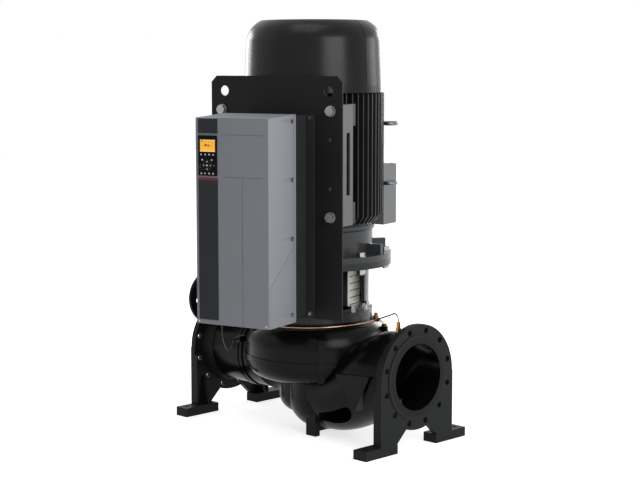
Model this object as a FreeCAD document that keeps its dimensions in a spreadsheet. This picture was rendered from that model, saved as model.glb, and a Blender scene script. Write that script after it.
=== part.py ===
import FreeCAD, Part
import math
import os
import Sketcher

# Inline centrifugal pump: two pipe flanges in line, the motor standing on top of the casing
# and the speed drive on a plate in front of the motor.
# Frame: Z up, floor at 0, X along the pipe towards the inlet flange, Y to the back. Millimetres.

os.makedirs("parts", exist_ok=True)
doc = FreeCAD.newDocument("inline_pump")
sheet = doc.addObject("Spreadsheet::Sheet", "sizes")

UP = FreeCAD.Vector(0, 0, 1)
ALONG_X = (FreeCAD.Vector(0, 1, 0), 90)
ALONG_MINUS_X = (FreeCAD.Vector(0, 1, 0), -90)
ALONG_MINUS_Y = (FreeCAD.Vector(1, 0, 0), 90)
ALONG_Y = (FreeCAD.Vector(1, 0, 0), -90)


class Size:
    """A size kept both as a formula on the sheet and as the number that formula gives."""

    def __init__(self, text, number):
        self.text = text
        self.number = number

    def __add__(self, other):
        return join(self, "+", other)

    def __radd__(self, other):
        return join(other, "+", self)

    def __sub__(self, other):
        return join(self, "-", other)

    def __rsub__(self, other):
        return join(other, "-", self)

    def __mul__(self, other):
        return join(self, "*", other)

    def __rmul__(self, other):
        return join(other, "*", self)

    def __truediv__(self, other):
        return join(self, "/", other)

    def __neg__(self):
        return join(0, "-", self)


def number_of(value):
    return value.number if isinstance(value, Size) else float(value)


def text_of(value):
    return value.text if isinstance(value, Size) else "(%r)" % float(value)


def join(left, sign, right):
    a = number_of(left)
    b = number_of(right)
    if sign == "+":
        number = a + b
    elif sign == "-":
        number = a - b
    elif sign == "*":
        number = a * b
    else:
        number = a / b
    return Size("(%s %s %s)" % (text_of(left), sign, text_of(right)), number)


def cosine(angle):
    return Size("cos(%s)" % text_of(angle), math.cos(math.radians(number_of(angle))))


def sine(angle):
    return Size("sin(%s)" % text_of(angle), math.sin(math.radians(number_of(angle))))


def root(value):
    return Size("sqrt(%s)" % text_of(value), math.sqrt(number_of(value)))


class Sizes:
    """The named sizes of the pump; each one is a cell of the sheet."""

    def __init__(self, **groups):
        self.row = 0
        self.add(**groups)

    def add(self, **values):
        for name, value in values.items():
            self.row += 1
            sheet.set("A%d" % self.row, name)
            sheet.set("B%d" % self.row, repr(value))
            sheet.setAlias("B%d" % self.row, name)
            setattr(self, name, Size("sizes." + name, float(value)))


s = Sizes(
    # pipe run and flanges
    port_span=1060, pipe_height=270, port_r=125, neck_r=147, neck_fit=0.05,
    flange_r=197.5, flange_thick=23, bolt_circle_r=175, flange_hole_r=11.5,
    raised_face_r=160, raised_face=3, hub_r=160, hub_length=52,
)
s.add(
    # stand legs under each flange
    leg_outer_y=200, leg_inner_low_y=112, leg_inner_high_y=62, leg_inner_high_z=82,
    edge_rib_width=8, edge_rib_depth=37, web_width=10, web_top_z=150,
    foot_height=35, foot_inner_y=108, foot_outer_y=279, foot_depth=63,
    foot_hole_r=9, foot_hole_inset=33, foot_hole_y=250,
)
s.add(
    # lifting lug on the outlet flange
    lug_thick=12, lug_r=109, lug_y=-119, lug_z=473, lug_hole_r=13.5, lug_hole_y=-184,
    lug_hole_z=465, lug_hub_clearance=5, lug_scallop_r=26, lug_screw_inner_r=169,
    lug_screw_outer_r=187, lug_screw_angle=120,
)
s.add(
    # volute casing
    shaft_x=-13.5, scroll_y=22, scroll_r=285, scroll_low_z=203, scroll_high_z=435,
    scroll_low_round=73, scroll_high_round=95, casing_wall=18,
    parting_proud=5, parting_low_z=276, parting_high_z=296,
    strap_width=24, strap_proud=12, strap_low_z=191, strap_high_z=402, strap_angle=-45,
    casing_face_z=431, casing_flange_r=229, casing_opening_r=178, stud_ring_depth=38,
    neck_end_x=-200, neck_taper_end_x=-92, neck_taper_r=68,
    collar_r=152, collar_from_port=219, collar_width=14, collar_gap=7,
    outlet_bore_long=220, throat_r=82, throat_z=300, throat_long=180,
    bowl_x=73, bowl_r=162, bowl_low_z=8, bowl_round=128,
    eye_chamber_r=138, eye_chamber_low_z=62, eye_chamber_round=70, eye_r=108,
    bowl_wall=17, floor_high_z=221, bowl_roof_z=186,
    stub_x=82, stub_length=51, stub_inner_y=117, stub_width=24, stub_height=90,
    stub_web_x=100, stub_web_thick=12, stub_web_low_z=12, stub_web_high_z=50,
    vent_boss_x=230, vent_boss_y=142, vent_boss_r=14, vent_boss_low_z=365, vent_boss_high_z=408,
    duct_start_x=90, duct_end_back=80, passage_start_x=150, passage_end_back=40,
    gusset_inner_y=100, gusset_outer_y=166,
)
s.add(
    # casing cover, seal and studs
    cover_flange_thick=10, cover_rim_fit=0.2, cover_rim_wall=13, cover_disc_low_z=355,
    cover_disc_high_z=375, cover_hub_r=70, cover_hub_high_z=400, seal_seat_r=40,
    seal_seat_low_z=375, seal_seat_high_z=387, seal_seat_bore_r=26, seal_ring_r=36,
    seal_ring_low_z=352, seal_ring_fit=0.02, shaft_hole_r=27,
    stud_circle_r=205, stud_r=8, stud_fit=0.05, stud_clearance=1, stud_low_z=403,
    stud_high_z=499, nut_across_corners_r=13.85, nut_height=13, washer_r=15, washer_thick=3,
    wear_ring_bore_r=100.3, wear_ring_r=107.95, wear_ring_low_z=190, wear_ring_high_z=222,
)
s.add(
    # impeller, shafts and coupling
    impeller_r=172, impeller_back_low_z=318, impeller_back_high_z=326, impeller_hub_r=40,
    impeller_hub_low_z=265, impeller_front_z=266, impeller_front_thick=6, impeller_skirt_r=99.9,
    impeller_skirt_wall=8, impeller_skirt_low_z=195, impeller_skirt_high_z=232,
    vane_arc_r=130, vane_thick=6, vane_centre_r=108, vane_inner_r=52,
    pump_shaft_r=25, pump_shaft_low_z=232, shaft_end_gap=2, nut_low_z=237, nut_corner_r=42,
    coupling_r=70, coupling_low_z=500, coupling_high_z=630, coupling_gap=4, coupling_fit=0.02,
    coupling_screw_r=6, coupling_screw_x=52, coupling_screw_low_z=530, coupling_screw_high_z=600,
    coupling_screw_head_r=9, coupling_screw_seat_y=30, coupling_screw_tip_y=36,
    coupling_screw_head_long=11,
    motor_shaft_low_z=560, motor_shaft_end_r=37.5, motor_shaft_step_z=700, bearing_seat_r=42.5,
    core_seat_r=52, motor_shaft_high_z=1460, fan_seat_r=32,
)
s.add(
    # motor stool and coupling guards
    stool_low_z=441, stool_base_r=229, stool_base_thick=35, stool_base_bore_r=180,
    stool_wall_r=214, stool_wall_inner_r=198, stool_top_r=300, stool_top_low_z=649,
    stool_top_z=675, stool_top_bore_r=215, window_half_width=73, window_low_z=486,
    window_high_z=641, nut_pocket_r=15.5, nut_pocket_height=32,
    guard_x=184, guard_thick=1.5, guard_low_y=-66, guard_high_y=50, guard_height=156,
    guard_slot_height=3, guard_slot_pitch=27, guard_slot_first=24, guard_slot_margin=16,
    guard_notch_width=25, guard_notch_height=20, front_flat_y=-280,
)
s.add(
    # motor
    shield_flange_thick=22, shield_neck_r=228, shield_neck_high_z=805, shield_lip_r=236,
    shield_lip_height=14, shield_neck_wall=16, shield_web_high_z=720, shield_hole_r=55,
    bearing_r=90, bearing_fit=0.05, bearing_low_z=703, bearing_high_z=744,
    boss_wall=16, shield_rib_width=20, shield_rib_r=292, shield_rib_height=40,
    motor_bolt_circle_r=277, motor_bolt_turn=-5.4, motor_bolt_r=10, motor_bolt_corner_r=17.3,
    motor_bolt_head=13, motor_nut_height=16, motor_washer_r=18.5, frame_r=225, frame_bore_r=205,
    frame_high_z=1312, fin_r=270, fin_width=5, fin_low_margin=10, fin_high_margin=1,
    fin_bevel=30, fin_top_bevel=4, core_low_z=850, core_high_z=1250,
    stator_bore_r=130, stator_fit=0.05, winding_inner_r=140, winding_outer_r=195,
    winding_height=38, rotor_core_r=129, end_ring_r=122, end_ring_height=18,
    upper_shield_thick=18, upper_boss_low_z=1285, upper_bearing_low_z=1288,
    upper_bearing_high_z=1326,
    fan_low_z=1400, fan_high_z=1452, fan_hub_r=55, fan_r=212, fan_disc_thick=5, fan_blade_thick=4,
    cover_low_z=1313, cover_band_high_z=1339, cover_low_r=270, cover_shoulder_r=262,
    cover_shoulder_z=1509, cover_top_z=1585, cover_wall=3, crown_centre_r=161.8,
    crown_centre_z=1493.2, crown_round=101.4, grille_inner_r=70, grille_outer_r=195,
    grille_slot_width=12, seam_width=2.5, seam_depth=1.2, seam_inner_r=200,
)
s.add(
    # everything on the head turned about the shaft: pads, terminal box, plate, brackets
    head_turn=15.1, pad_outer_x=262, pad_inner_x=120, pad_face_y=-208, pad_inner_y=-150,
    pad_height=80, box_pad_x=140, box_pad_inner_y=150, box_pad_y=285, box_pad_low_z=800,
    box_pad_high_z=1000,
    eyebolt_boss_r=24, eyebolt_boss_out_r=272, eyebolt_low_z=954, eyebolt_high_z=1188,
    eyebolt_angle=45, eyebolt_centre_r=307, eyebolt_ring_r=25, eyebolt_wire_r=8,
    eyebolt_shank_in_r=245, terminal_x=157, terminal_low_z=778, terminal_split_z=944,
    terminal_high_z=1019, terminal_out_y=396, terminal_wall=5,
    plate_x=283, plate_front_y=-288, plate_thick=6, plate_low_z=480, plate_high_z=1376,
    plate_corner=23, lifting_hole_r=19, lifting_hole_x=225, lifting_hole_z=1320,
    plate_bolt_x=235, plate_bolt_high_z=1249, plate_bolt_low_z=861, plate_bolt_r=10,
    plate_bolt_corner_r=18.5, plate_bolt_head=13, plate_washer_r=20, plate_spare_hole_r=8,
    plate_spare_x=231, plate_spare_high_z=1144, plate_spare_low_z=965,
    bracket_low_z=829, bracket_high_z=1273, bracket_front_x=205, bracket_rear_x=232,
    bracket_rear_y=-214, bracket_thick=6, bracket_slot_front_y=-256, bracket_slot_rear_y=-228,
    bracket_slot_low_z=941, bracket_slot_high_z=1170, bracket_screw_x=248, bracket_screw_r=6,
    bracket_screw_corner_r=10.95, bracket_screw_head=8, bracket_screw_inset=22,
)
s.add(
    # speed drive
    drive_back_x=134, drive_front_y=-589, drive_split_y=-401, drive_back_y=-294,
    drive_back_low_z=490, drive_back_high_z=1232, drive_flange_x=168, drive_low_z=483,
    drive_flange_high_z=1235, drive_x=154, drive_high_front_z=1229, drive_high_back_z=1240,
    drive_wall=6, drive_back_wall=5, drive_corner=3, drive_rim_depth=30, drive_rim_gap=0.1,
    drive_rim_high_z=1224, side_screw_y=-425, recess_depth=4.5, recess_r=9, recess_tip_y=-535,
    groove_width=2, groove_depth=1.5, side_groove_rear_y=-416, side_groove_inset=6,
    side_groove_high_z=757, side_groove_low_z=625, band_groove_y=-417,
    band_groove_width=3, band_groove_depth=2, seam_high_z=1169, seam_low_z=1018,
    seam_left_x=-40, seam_right_x=139, seam_x=43, strip_left_x=-141, strip_right_x=-59,
    strip_low_z=500, strip_high_z=1225.5, strip_thick=2, strip_gap_low=8, strip_gap_high=8,
    flange_screw_x=151,
    flange_screw_high_z=1222, flange_screw_low_z=501, flange_screw_r=4, flange_screw_head_r=7,
    flange_screw_head=5, side_screw_r=3, side_screw_head_r=6, side_screw_head=4,
    side_screw_long=10, front_screw_x=143, front_screw_z=492, front_screw_head_r=3.6,
    front_screw_head=1.2, front_screw_long=7,
)
s.add(
    # operating panel
    panel_left_x=-139, panel_right_x=-61, panel_low_z=1022, panel_high_z=1166,
    panel_front_y=-594, panel_plate=2.5, panel_depth=14, panel_wall=1.2, panel_back=3,
    panel_opening_gap=0.1, display_left_x=-131, display_right_x=-67, display_low_z=1108,
    display_high_z=1151, display_sunk=0.4, display_lip=2, display_back=2.5, display_fit=0.05,
    key_r=4.4, key_play=0.35, key_proud=1.2, key_collar_r=5.4, key_collar=1.2,
    key_collar_gap=0.3, key_post_r=2.5, key_post=5.2,
)
s.add(
    # cable glands, flush line, sensor
    gland_y=-350, gland_left_x=-78, gland_middle_x=-16, gland_right_x=45, gland_corner_r=19,
    gland_hex_height=12, gland_r=14, gland_height=40, gland_thread_r=12,
    line_r=3, line_ring_r=244, line_low_z=428, line_end_back=100, line_top_z=490,
    fitting_hex_r=12, fitting_low_z=425, fitting_hex_high_z=441, fitting_r=8,
    fitting_high_z=464, fitting_thread_r=5, fitting_thread=14, fitting_boss_r=14,
    second_fitting_angle=40, second_fitting_r=243, second_low_z=431, second_high_z=452,
    start_fitting_angle=-118, start_low_z=415,
    vent_plug_corner_r=11, vent_plug_height=9,
    sensor_from_port=264, sensor_z=334, sensor_r=14, sensor_in_y=-120, sensor_hex_y=-146,
    sensor_out_y=-178, cable_r=2, cable_end_x=35, cable_end_y=-525, cable_end_z=482,
    cable_gland_r=8, cable_gland_height=14,
)

KEYS = {
    "menu_key_1": (-126, 1098),
    "menu_key_2": (-108.5, 1098),
    "menu_key_3": (-91.5, 1098),
    "menu_key_4": (-74, 1098),
    "back_key": (-121, 1079),
    "cancel_key": (-80.5, 1079),
    "up_key": (-101, 1073),
    "ok_key": (-101, 1059),
    "left_key": (-115.5, 1059),
    "right_key": (-86.5, 1059),
    "down_key": (-101, 1045.5),
    "mode_key_1": (-125.5, 1030),
    "mode_key_2": (-109.5, 1030),
    "mode_key_3": (-92, 1030),
    "mode_key_4": (-75, 1030),
}
FLANGE_HOLES = 12
STUDS = 16
MOTOR_BOLTS = 8
FINS = 64
VANES = 6
FAN_BLADES = 9
GRILLE_SLOTS = 18
COVER_SEAMS = (-68.7, -13.5, 48.9, 111.3, 166.5, 228.9)

nodes = {}
serial = [0]


def fresh(name):
    serial[0] += 1
    return "%s_%03d" % (name, serial[0])


def bind(item, field, value):
    if isinstance(value, Size):
        item.setExpression(field, value.text)
    elif field.startswith("Placement"):
        item.setExpression(field, text_of(value))
    else:
        setattr(item, field, value)


def place(item, at, turn=None):
    """Sets an item at a point, turned about an axis; sizes stay bound to the sheet."""
    point = FreeCAD.Vector(*[number_of(value) for value in at])
    if turn is None:
        item.Placement = FreeCAD.Placement(point, FreeCAD.Rotation())
    else:
        axis, angle = turn
        item.Placement = FreeCAD.Placement(point, FreeCAD.Rotation(axis, number_of(angle)))
        if isinstance(angle, Size):
            item.setExpression("Placement.Rotation.Angle", angle.text)
    for letter, value in zip("xyz", at):
        if isinstance(value, Size):
            item.setExpression("Placement.Base." + letter, value.text)
    return item


def solid(kind, at=(0, 0, 0), turn=None, **fields):
    item = doc.addObject("Part::" + kind, fresh(kind.lower()))
    for field, value in fields.items():
        bind(item, field, value)
    return place(item, at, turn)


def cylinder(radius, long, at=(0, 0, 0), turn=None):
    return solid("Cylinder", at, turn, Radius=radius, Height=long)


def prism(corner_r, long, at=(0, 0, 0), turn=None):
    return solid("Prism", at, turn, Polygon=6, Circumradius=corner_r, Height=long)


def block(x0, x1, y0, y1, z0, z1):
    """Box between two corners."""
    return solid("Box", (x0, y0, z0), None, Length=x1 - x0, Width=y1 - y0, Height=z1 - z0)


def drum(radius, z0, z1, x=0, y=0):
    """Upright cylinder between two heights."""
    return cylinder(radius, z1 - z0, (x, y, z0))


def fuse(items):
    item = doc.addObject("Part::MultiFuse", fresh("fuse"))
    item.Shapes = items
    return item


def cut(base, tools):
    tool = tools[0] if len(tools) == 1 else fuse(tools)
    item = doc.addObject("Part::Cut", fresh("cut"))
    item.Base = base
    item.Tool = tool
    return item


def common(items):
    item = doc.addObject("Part::MultiCommon", fresh("common"))
    item.Shapes = items
    return item


def group(items):
    item = doc.addObject("Part::Compound", fresh("group"))
    item.Links = items
    return item


def plane_of(body, role):
    for feature in body.Origin.OriginFeatures:
        if feature.Role == role:
            return feature
    raise ValueError(role)


def new_body():
    return doc.addObject("PartDesign::Body", fresh("body"))


def outline(body, role, points):
    """Closed outline of straight edges on one of the body's own planes, corners bound to the sheet."""
    sketch = body.newObject("Sketcher::SketchObject", fresh("sketch"))
    sketch.AttachmentSupport = (plane_of(body, role), [""])
    sketch.MapMode = "FlatFace"
    count = len(points)
    places = [FreeCAD.Vector(number_of(a), number_of(b), 0) for a, b in points]
    for index in range(count):
        sketch.addGeometry(Part.LineSegment(places[index], places[(index + 1) % count]), False)
    rules = []
    for index in range(count):
        rules.append(Sketcher.Constraint("Coincident", index, 2, (index + 1) % count, 1))
    for index in range(count):
        rules.append(Sketcher.Constraint("DistanceX", -1, 1, index, 1, places[index].x))
        rules.append(Sketcher.Constraint("DistanceY", -1, 1, index, 1, places[index].y))
    sketch.addConstraint(rules)
    for index, pair in enumerate(points):
        for offset, value in enumerate(pair):
            if isinstance(value, Size):
                sketch.setExpression("Constraints[%d]" % (count + 2 * index + offset), value.text)
    return sketch


def turned(points, at=(0, 0, 0)):
    """Body turned about its upright axis from corners given as (radius, height)."""
    body = new_body()
    sketch = outline(body, "XZ_Plane", points)
    feature = body.newObject("PartDesign::Revolution", fresh("turn"))
    feature.Profile = sketch
    feature.ReferenceAxis = (sketch, ["V_Axis"])
    feature.Angle = 360
    return place(body, at)


def extruded(role, points, long, at=(0, 0, 0), turn=None):
    """Body pushed out from an outline on one of its planes."""
    body = new_body()
    sketch = outline(body, role, points)
    feature = body.newObject("PartDesign::Pad", fresh("pad"))
    feature.Profile = sketch
    bind(feature, "Length", long)
    return place(body, at, turn)


def rounded_drum(radius, z0, z1, low_round, high_round, x=0, y=0):
    """Upright cylinder with its lower and upper edges rounded; 0 leaves an edge sharp."""
    body = new_body()
    sketch = body.newObject("Sketcher::SketchObject", fresh("sketch"))
    sketch.AttachmentSupport = (plane_of(body, "XY_Plane"), [""])
    sketch.MapMode = "FlatFace"
    sketch.addGeometry(Part.Circle(FreeCAD.Vector(0, 0, 0), UP, number_of(radius)), False)
    sketch.addConstraint([
        Sketcher.Constraint("Coincident", 0, 3, -1, 1),
        Sketcher.Constraint("Radius", 0, number_of(radius)),
    ])
    sketch.setExpression("Constraints[1]", text_of(radius))
    feature = body.newObject("PartDesign::Pad", fresh("pad"))
    feature.Profile = sketch
    bind(feature, "Length", z1 - z0)
    doc.recompute()
    for level, size in ((0.0, low_round), (number_of(z1) - number_of(z0), high_round)):
        if number_of(size) == 0:
            continue
        names = []
        for index, edge in enumerate(feature.Shape.Edges):
            box = edge.BoundBox
            if abs(box.ZMin - level) < 0.01 and abs(box.ZMax - level) < 0.01:
                names.append("Edge%d" % (index + 1))
        fillet = body.newObject("PartDesign::Fillet", fresh("fillet"))
        fillet.Base = (feature, names)
        bind(fillet, "Radius", size)
        doc.recompute()
        feature = fillet
    return place(body, (x, y, z0))


def ellipse_at(x, z, up_r, side_r):
    """Upright ellipse across the pipe, with the longer half first on its own axis."""
    item = doc.addObject("Part::Ellipse", fresh("ellipse"))
    if number_of(up_r) >= number_of(side_r):
        bind(item, "MajorRadius", up_r)
        bind(item, "MinorRadius", side_r)
        spin = FreeCAD.Rotation(FreeCAD.Vector(0, 1, 0), -90)
    else:
        bind(item, "MajorRadius", side_r)
        bind(item, "MinorRadius", up_r)
        spin = FreeCAD.Rotation(FreeCAD.Vector(1, 1, 1), 120)
    item.Placement = FreeCAD.Placement(FreeCAD.Vector(number_of(x), 0, number_of(z)), spin)
    for letter, value in (("x", x), ("z", z)):
        if isinstance(value, Size):
            item.setExpression("Placement.Base." + letter, value.text)
    return item


def duct(sections):
    item = doc.addObject("Part::Loft", fresh("duct"))
    item.Sections = sections
    item.Solid = True
    item.Ruled = False
    return item


def on_circle(radius, angle, x=0, y=0):
    """Point on a circle about an upright axis."""
    return x + radius * cosine(angle), y + radius * sine(angle)


def node(name, item):
    item.Label = name
    nodes[name] = item
    return item


def turn_head(item):
    """Turns an item about the shaft to the angle of the motor and drive."""
    return place(item, (s.shaft_x, 0, 0), (UP, s.head_turn))


def rounded_route(points):
    """Wire of straight runs joined by tangent arcs; returns the wire, its length and radii."""
    edges = []
    radii = []
    last = points[0]
    for index in range(1, len(points) - 1):
        corner = points[index]
        before = points[index - 1] - corner
        after = points[index + 1] - corner
        half = (math.pi - before.getAngle(after)) / 2
        radius = 0.45 * min(before.Length, after.Length) / math.tan(half)
        back = radius * math.tan(half)
        first = corner + before.normalize() * back
        second = corner + after.normalize() * back
        towards = (first + second) * 0.5 - corner
        middle = corner + towards.normalize() * (radius / math.cos(half) - radius)
        edges.append(Part.LineSegment(last, first).toShape())
        edges.append(Part.Arc(first, middle, second).toShape())
        radii.append(radius)
        last = second
    edges.append(Part.LineSegment(last, points[-1]).toShape())
    return Part.Wire(edges), sum(edge.Length for edge in edges), radii


def tube(points, radius):
    """Round tube along a route; prints its length and radii, and compares its volume."""
    wire, long, radii = rounded_route(points)
    start = points[0]
    along = (points[1] - points[0]).normalize()
    ring = Part.Wire([Part.Circle(start, along, radius).toShape()])
    shape = wire.makePipeShell([ring], True, True)
    expected = math.pi * radius * radius * long
    print("route length %.1f, volume ratio %.4f" % (long, shape.Volume / expected))
    print("route radii", " ".join("%.0f" % value for value in radii))
    item = doc.addObject("Part::Feature", fresh("tube"))
    item.Shape = shape
    return item


HALF_SPAN = s.port_span / 2
FLANGE_FRONT = HALF_SPAN - s.raised_face
FLANGE_BACK = FLANGE_FRONT - s.flange_thick
SHAFT = {"x": s.shaft_x}
LINE_END_X = HALF_SPAN - s.line_end_back
SENSOR_X = s.sensor_from_port - HALF_SPAN
PUMP_SHAFT_HIGH_Z = s.motor_shaft_low_z - s.shaft_end_gap


def between(start_x, end_back, share):
    """Place on the inlet side, a share of the way from one point to a distance before the port."""
    return start_x + (HALF_SPAN - end_back - start_x) * share


# Flanges with their stands
def stand():
    """Bolting flange with the two legs it stands on, for the inlet end; the outlet turns it half round."""
    pieces = [
        cylinder(s.flange_r, s.flange_thick, (FLANGE_BACK, 0, s.pipe_height), ALONG_X),
        cylinder(s.raised_face_r, s.raised_face, (FLANGE_FRONT, 0, s.pipe_height), ALONG_X),
        solid("Cone", (FLANGE_BACK, 0, s.pipe_height), ALONG_MINUS_X,
              Radius1=s.hub_r, Radius2=s.neck_r + 2, Height=s.hub_length),
    ]
    for side in (1, -1):
        pieces.append(extruded("YZ_Plane", [
            (side * s.leg_outer_y, s.pipe_height),
            (side * s.leg_outer_y, s.foot_height - 5),
            (side * s.leg_inner_low_y, s.foot_height - 5),
            (side * s.leg_inner_low_y, s.foot_height),
            (side * s.leg_inner_high_y, s.leg_inner_high_z),
            (side * s.leg_inner_high_y, s.pipe_height - s.neck_r + 10),
            (side * s.leg_inner_low_y, s.pipe_height),
        ], s.flange_thick, (FLANGE_BACK, 0, 0)))
        rib_inner = s.leg_outer_y - s.edge_rib_width
        rib_low, rib_high = sorted((side * rib_inner, side * s.leg_outer_y), key=number_of)
        pieces.append(block(FLANGE_FRONT - s.edge_rib_depth, FLANGE_BACK + 1, rib_low, rib_high,
                            s.foot_height - 5, s.pipe_height - 30))
        web_y = side * (s.leg_inner_low_y + s.leg_outer_y) / 2 + s.web_width / 2
        pieces.append(extruded("XZ_Plane", [
            (FLANGE_FRONT - s.foot_depth, s.foot_height - 5),
            (FLANGE_BACK + 1, s.foot_height - 5),
            (FLANGE_BACK + 1, s.web_top_z),
            (FLANGE_BACK - 4, s.web_top_z),
            (FLANGE_FRONT - s.foot_depth, s.foot_height),
        ], s.web_width, (0, web_y, 0)))
        foot_low, foot_high = sorted((side * s.foot_inner_y, side * s.foot_outer_y), key=number_of)
        pieces.append(block(FLANGE_FRONT - s.foot_depth, FLANGE_FRONT, foot_low, foot_high,
                            0, s.foot_height))
    holes = [cylinder(s.neck_r + s.neck_fit, 200, (HALF_SPAN - 150, 0, s.pipe_height), ALONG_X)]
    for index in range(FLANGE_HOLES):
        angle = (index + 0.5) * 360 / FLANGE_HOLES
        y, z = on_circle(s.bolt_circle_r, angle, 0, s.pipe_height)
        holes.append(cylinder(s.flange_hole_r, 60, (FLANGE_BACK - 20, y, z), ALONG_X))
    for side in (1, -1):
        holes.append(drum(s.foot_hole_r, -5, s.foot_height + 5, HALF_SPAN - s.foot_hole_inset,
                          side * s.foot_hole_y))
    return cut(fuse(pieces), holes)


node("inlet_stand", stand())
outlet = stand()
lug_holes = []
for radius in (s.lug_screw_inner_r, s.lug_screw_outer_r):
    y, z = on_circle(radius, s.lug_screw_angle, 0, s.pipe_height)
    lug_holes.append((y, z))
# the lug screws go into the outlet flange, which is turned half round with its stand
outlet = cut(outlet, [
    cylinder(5 + s.stud_fit, 18, (FLANGE_BACK - 1, -y, z), ALONG_X) for y, z in lug_holes
])
node("outlet_stand", place(outlet, (0, 0, 0), (UP, 180)))

# Lifting lug
lug_x = -FLANGE_BACK
lug_tools = [cylinder(s.hub_r + s.lug_hub_clearance, 40, (lug_x - 10, 0, s.pipe_height), ALONG_X)]
for index in (3, 4):
    angle = (index + 0.5) * 360 / FLANGE_HOLES
    y, z = on_circle(s.bolt_circle_r, angle, 0, s.pipe_height)
    lug_tools.append(cylinder(s.lug_scallop_r, 40, (lug_x - 10, y, z), ALONG_X))
lug_tools.append(cylinder(s.lug_hole_r, 40, (lug_x - 10, s.lug_hole_y, s.lug_hole_z), ALONG_X))
for y, z in lug_holes:
    lug_tools.append(cylinder(5 + s.stud_fit, 40, (lug_x - 10, y, z), ALONG_X))
node("lifting_lug", cut(
    cylinder(s.lug_r, s.lug_thick, (lug_x, s.lug_y, s.lug_z), ALONG_X), lug_tools))

# Volute casing
scroll = {"x": s.shaft_x, "y": s.scroll_y}
collar_x = s.collar_from_port - HALF_SPAN
gusset = extruded("XZ_Plane", [
    (between(s.duct_start_x, s.duct_end_back, 0.478), 268),
    (between(s.duct_start_x, s.duct_end_back, 0.756), 138),
    (between(s.duct_start_x, s.duct_end_back, 0.961), 280),
], s.gusset_outer_y - s.gusset_inner_y, (0, -s.gusset_inner_y, 0))
strap_box = solid("Box", (s.shaft_x, s.scroll_y, s.strap_low_z), (UP, s.strap_angle),
                  Length=400, Width=s.strap_width, Height=s.strap_high_z - s.strap_low_z)
strap_box_back = solid("Box", (s.shaft_x, s.scroll_y, s.strap_low_z), (UP, s.strap_angle + 180),
                       Length=400, Width=s.strap_width, Height=s.strap_high_z - s.strap_low_z)
strap_drum = rounded_drum(s.scroll_r + s.strap_proud, s.strap_low_z, s.strap_high_z,
                          s.scroll_low_round + s.strap_proud, 30, **scroll)
casing_outside = [
    rounded_drum(s.scroll_r, s.scroll_low_z, s.scroll_high_z, s.scroll_low_round,
                 s.scroll_high_round, **scroll),
    drum(s.scroll_r + s.parting_proud, s.parting_low_z, s.parting_high_z, **scroll),
    common([strap_drum, fuse([strap_box, strap_box_back])]),
    drum(s.casing_flange_r, s.casing_face_z - 30, s.casing_face_z, **SHAFT),
    cylinder(s.neck_r, HALF_SPAN + s.neck_end_x, (-HALF_SPAN, 0, s.pipe_height), ALONG_X),
    solid("Cone", (s.neck_end_x, 0, s.pipe_height), ALONG_X, Radius1=s.neck_r,
          Radius2=s.neck_taper_r, Height=s.neck_taper_end_x - s.neck_end_x),
    cylinder(s.collar_r, s.collar_width, (collar_x, 0, s.pipe_height), ALONG_X),
    cylinder(s.collar_r, s.collar_width,
             (collar_x + s.collar_width + s.collar_gap, 0, s.pipe_height), ALONG_X),
    rounded_drum(s.bowl_r, s.bowl_low_z, s.scroll_low_z + 30, s.bowl_round, 0, x=s.bowl_x),
    rounded_drum(s.eye_chamber_r, s.eye_chamber_low_z, s.scroll_low_z + 30,
                 s.eye_chamber_round, 0, **SHAFT),
    duct([
        ellipse_at(between(s.duct_start_x, s.duct_end_back, 1), s.pipe_height, s.neck_r, s.neck_r),
        ellipse_at(between(s.duct_start_x, s.duct_end_back, 0.694), 242, 170, 158),
        ellipse_at(between(s.duct_start_x, s.duct_end_back, 0.361), 186, 164, 160),
        ellipse_at(s.duct_start_x, 170, 162, 160),
    ]),
    cylinder(s.neck_r, s.duct_end_back + 1, (HALF_SPAN - s.duct_end_back - 1, 0, s.pipe_height),
             ALONG_X),
    gusset,
    block(s.stub_web_x, s.stub_web_x + s.stub_web_thick, -s.stub_inner_y - 2, s.stub_inner_y + 2,
          s.stub_web_low_z, s.stub_web_high_z),
    drum(s.vent_boss_r, s.vent_boss_low_z, s.vent_boss_high_z, s.vent_boss_x, s.vent_boss_y),
]
start_x, start_y = on_circle(s.line_ring_r, s.start_fitting_angle, s.shaft_x, 0)
second_x, second_y = on_circle(s.second_fitting_r, s.second_fitting_angle, s.shaft_x, 0)
fitting_seats = [
    (LINE_END_X, 0, s.fitting_low_z),
    (start_x, start_y, s.start_low_z),
    (second_x, second_y, s.second_low_z),
]
for x, y, top in fitting_seats:
    casing_outside.append(drum(s.fitting_boss_r, top - 24, top, x, y))
for side in (1, -1):
    low, high = sorted((side * s.stub_inner_y, side * (s.stub_inner_y + s.stub_width)),
                       key=number_of)
    casing_outside.append(block(s.stub_x, s.stub_x + s.stub_length, low, high, 0, s.stub_height))
above_face = drum(s.scroll_r, s.casing_face_z, s.scroll_high_z + 5, **scroll)
stud_ring = drum(s.casing_flange_r - 5, s.casing_face_z - s.stud_ring_depth, s.casing_face_z,
                 **SHAFT)
inner_r = s.scroll_r - s.casing_wall
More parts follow.
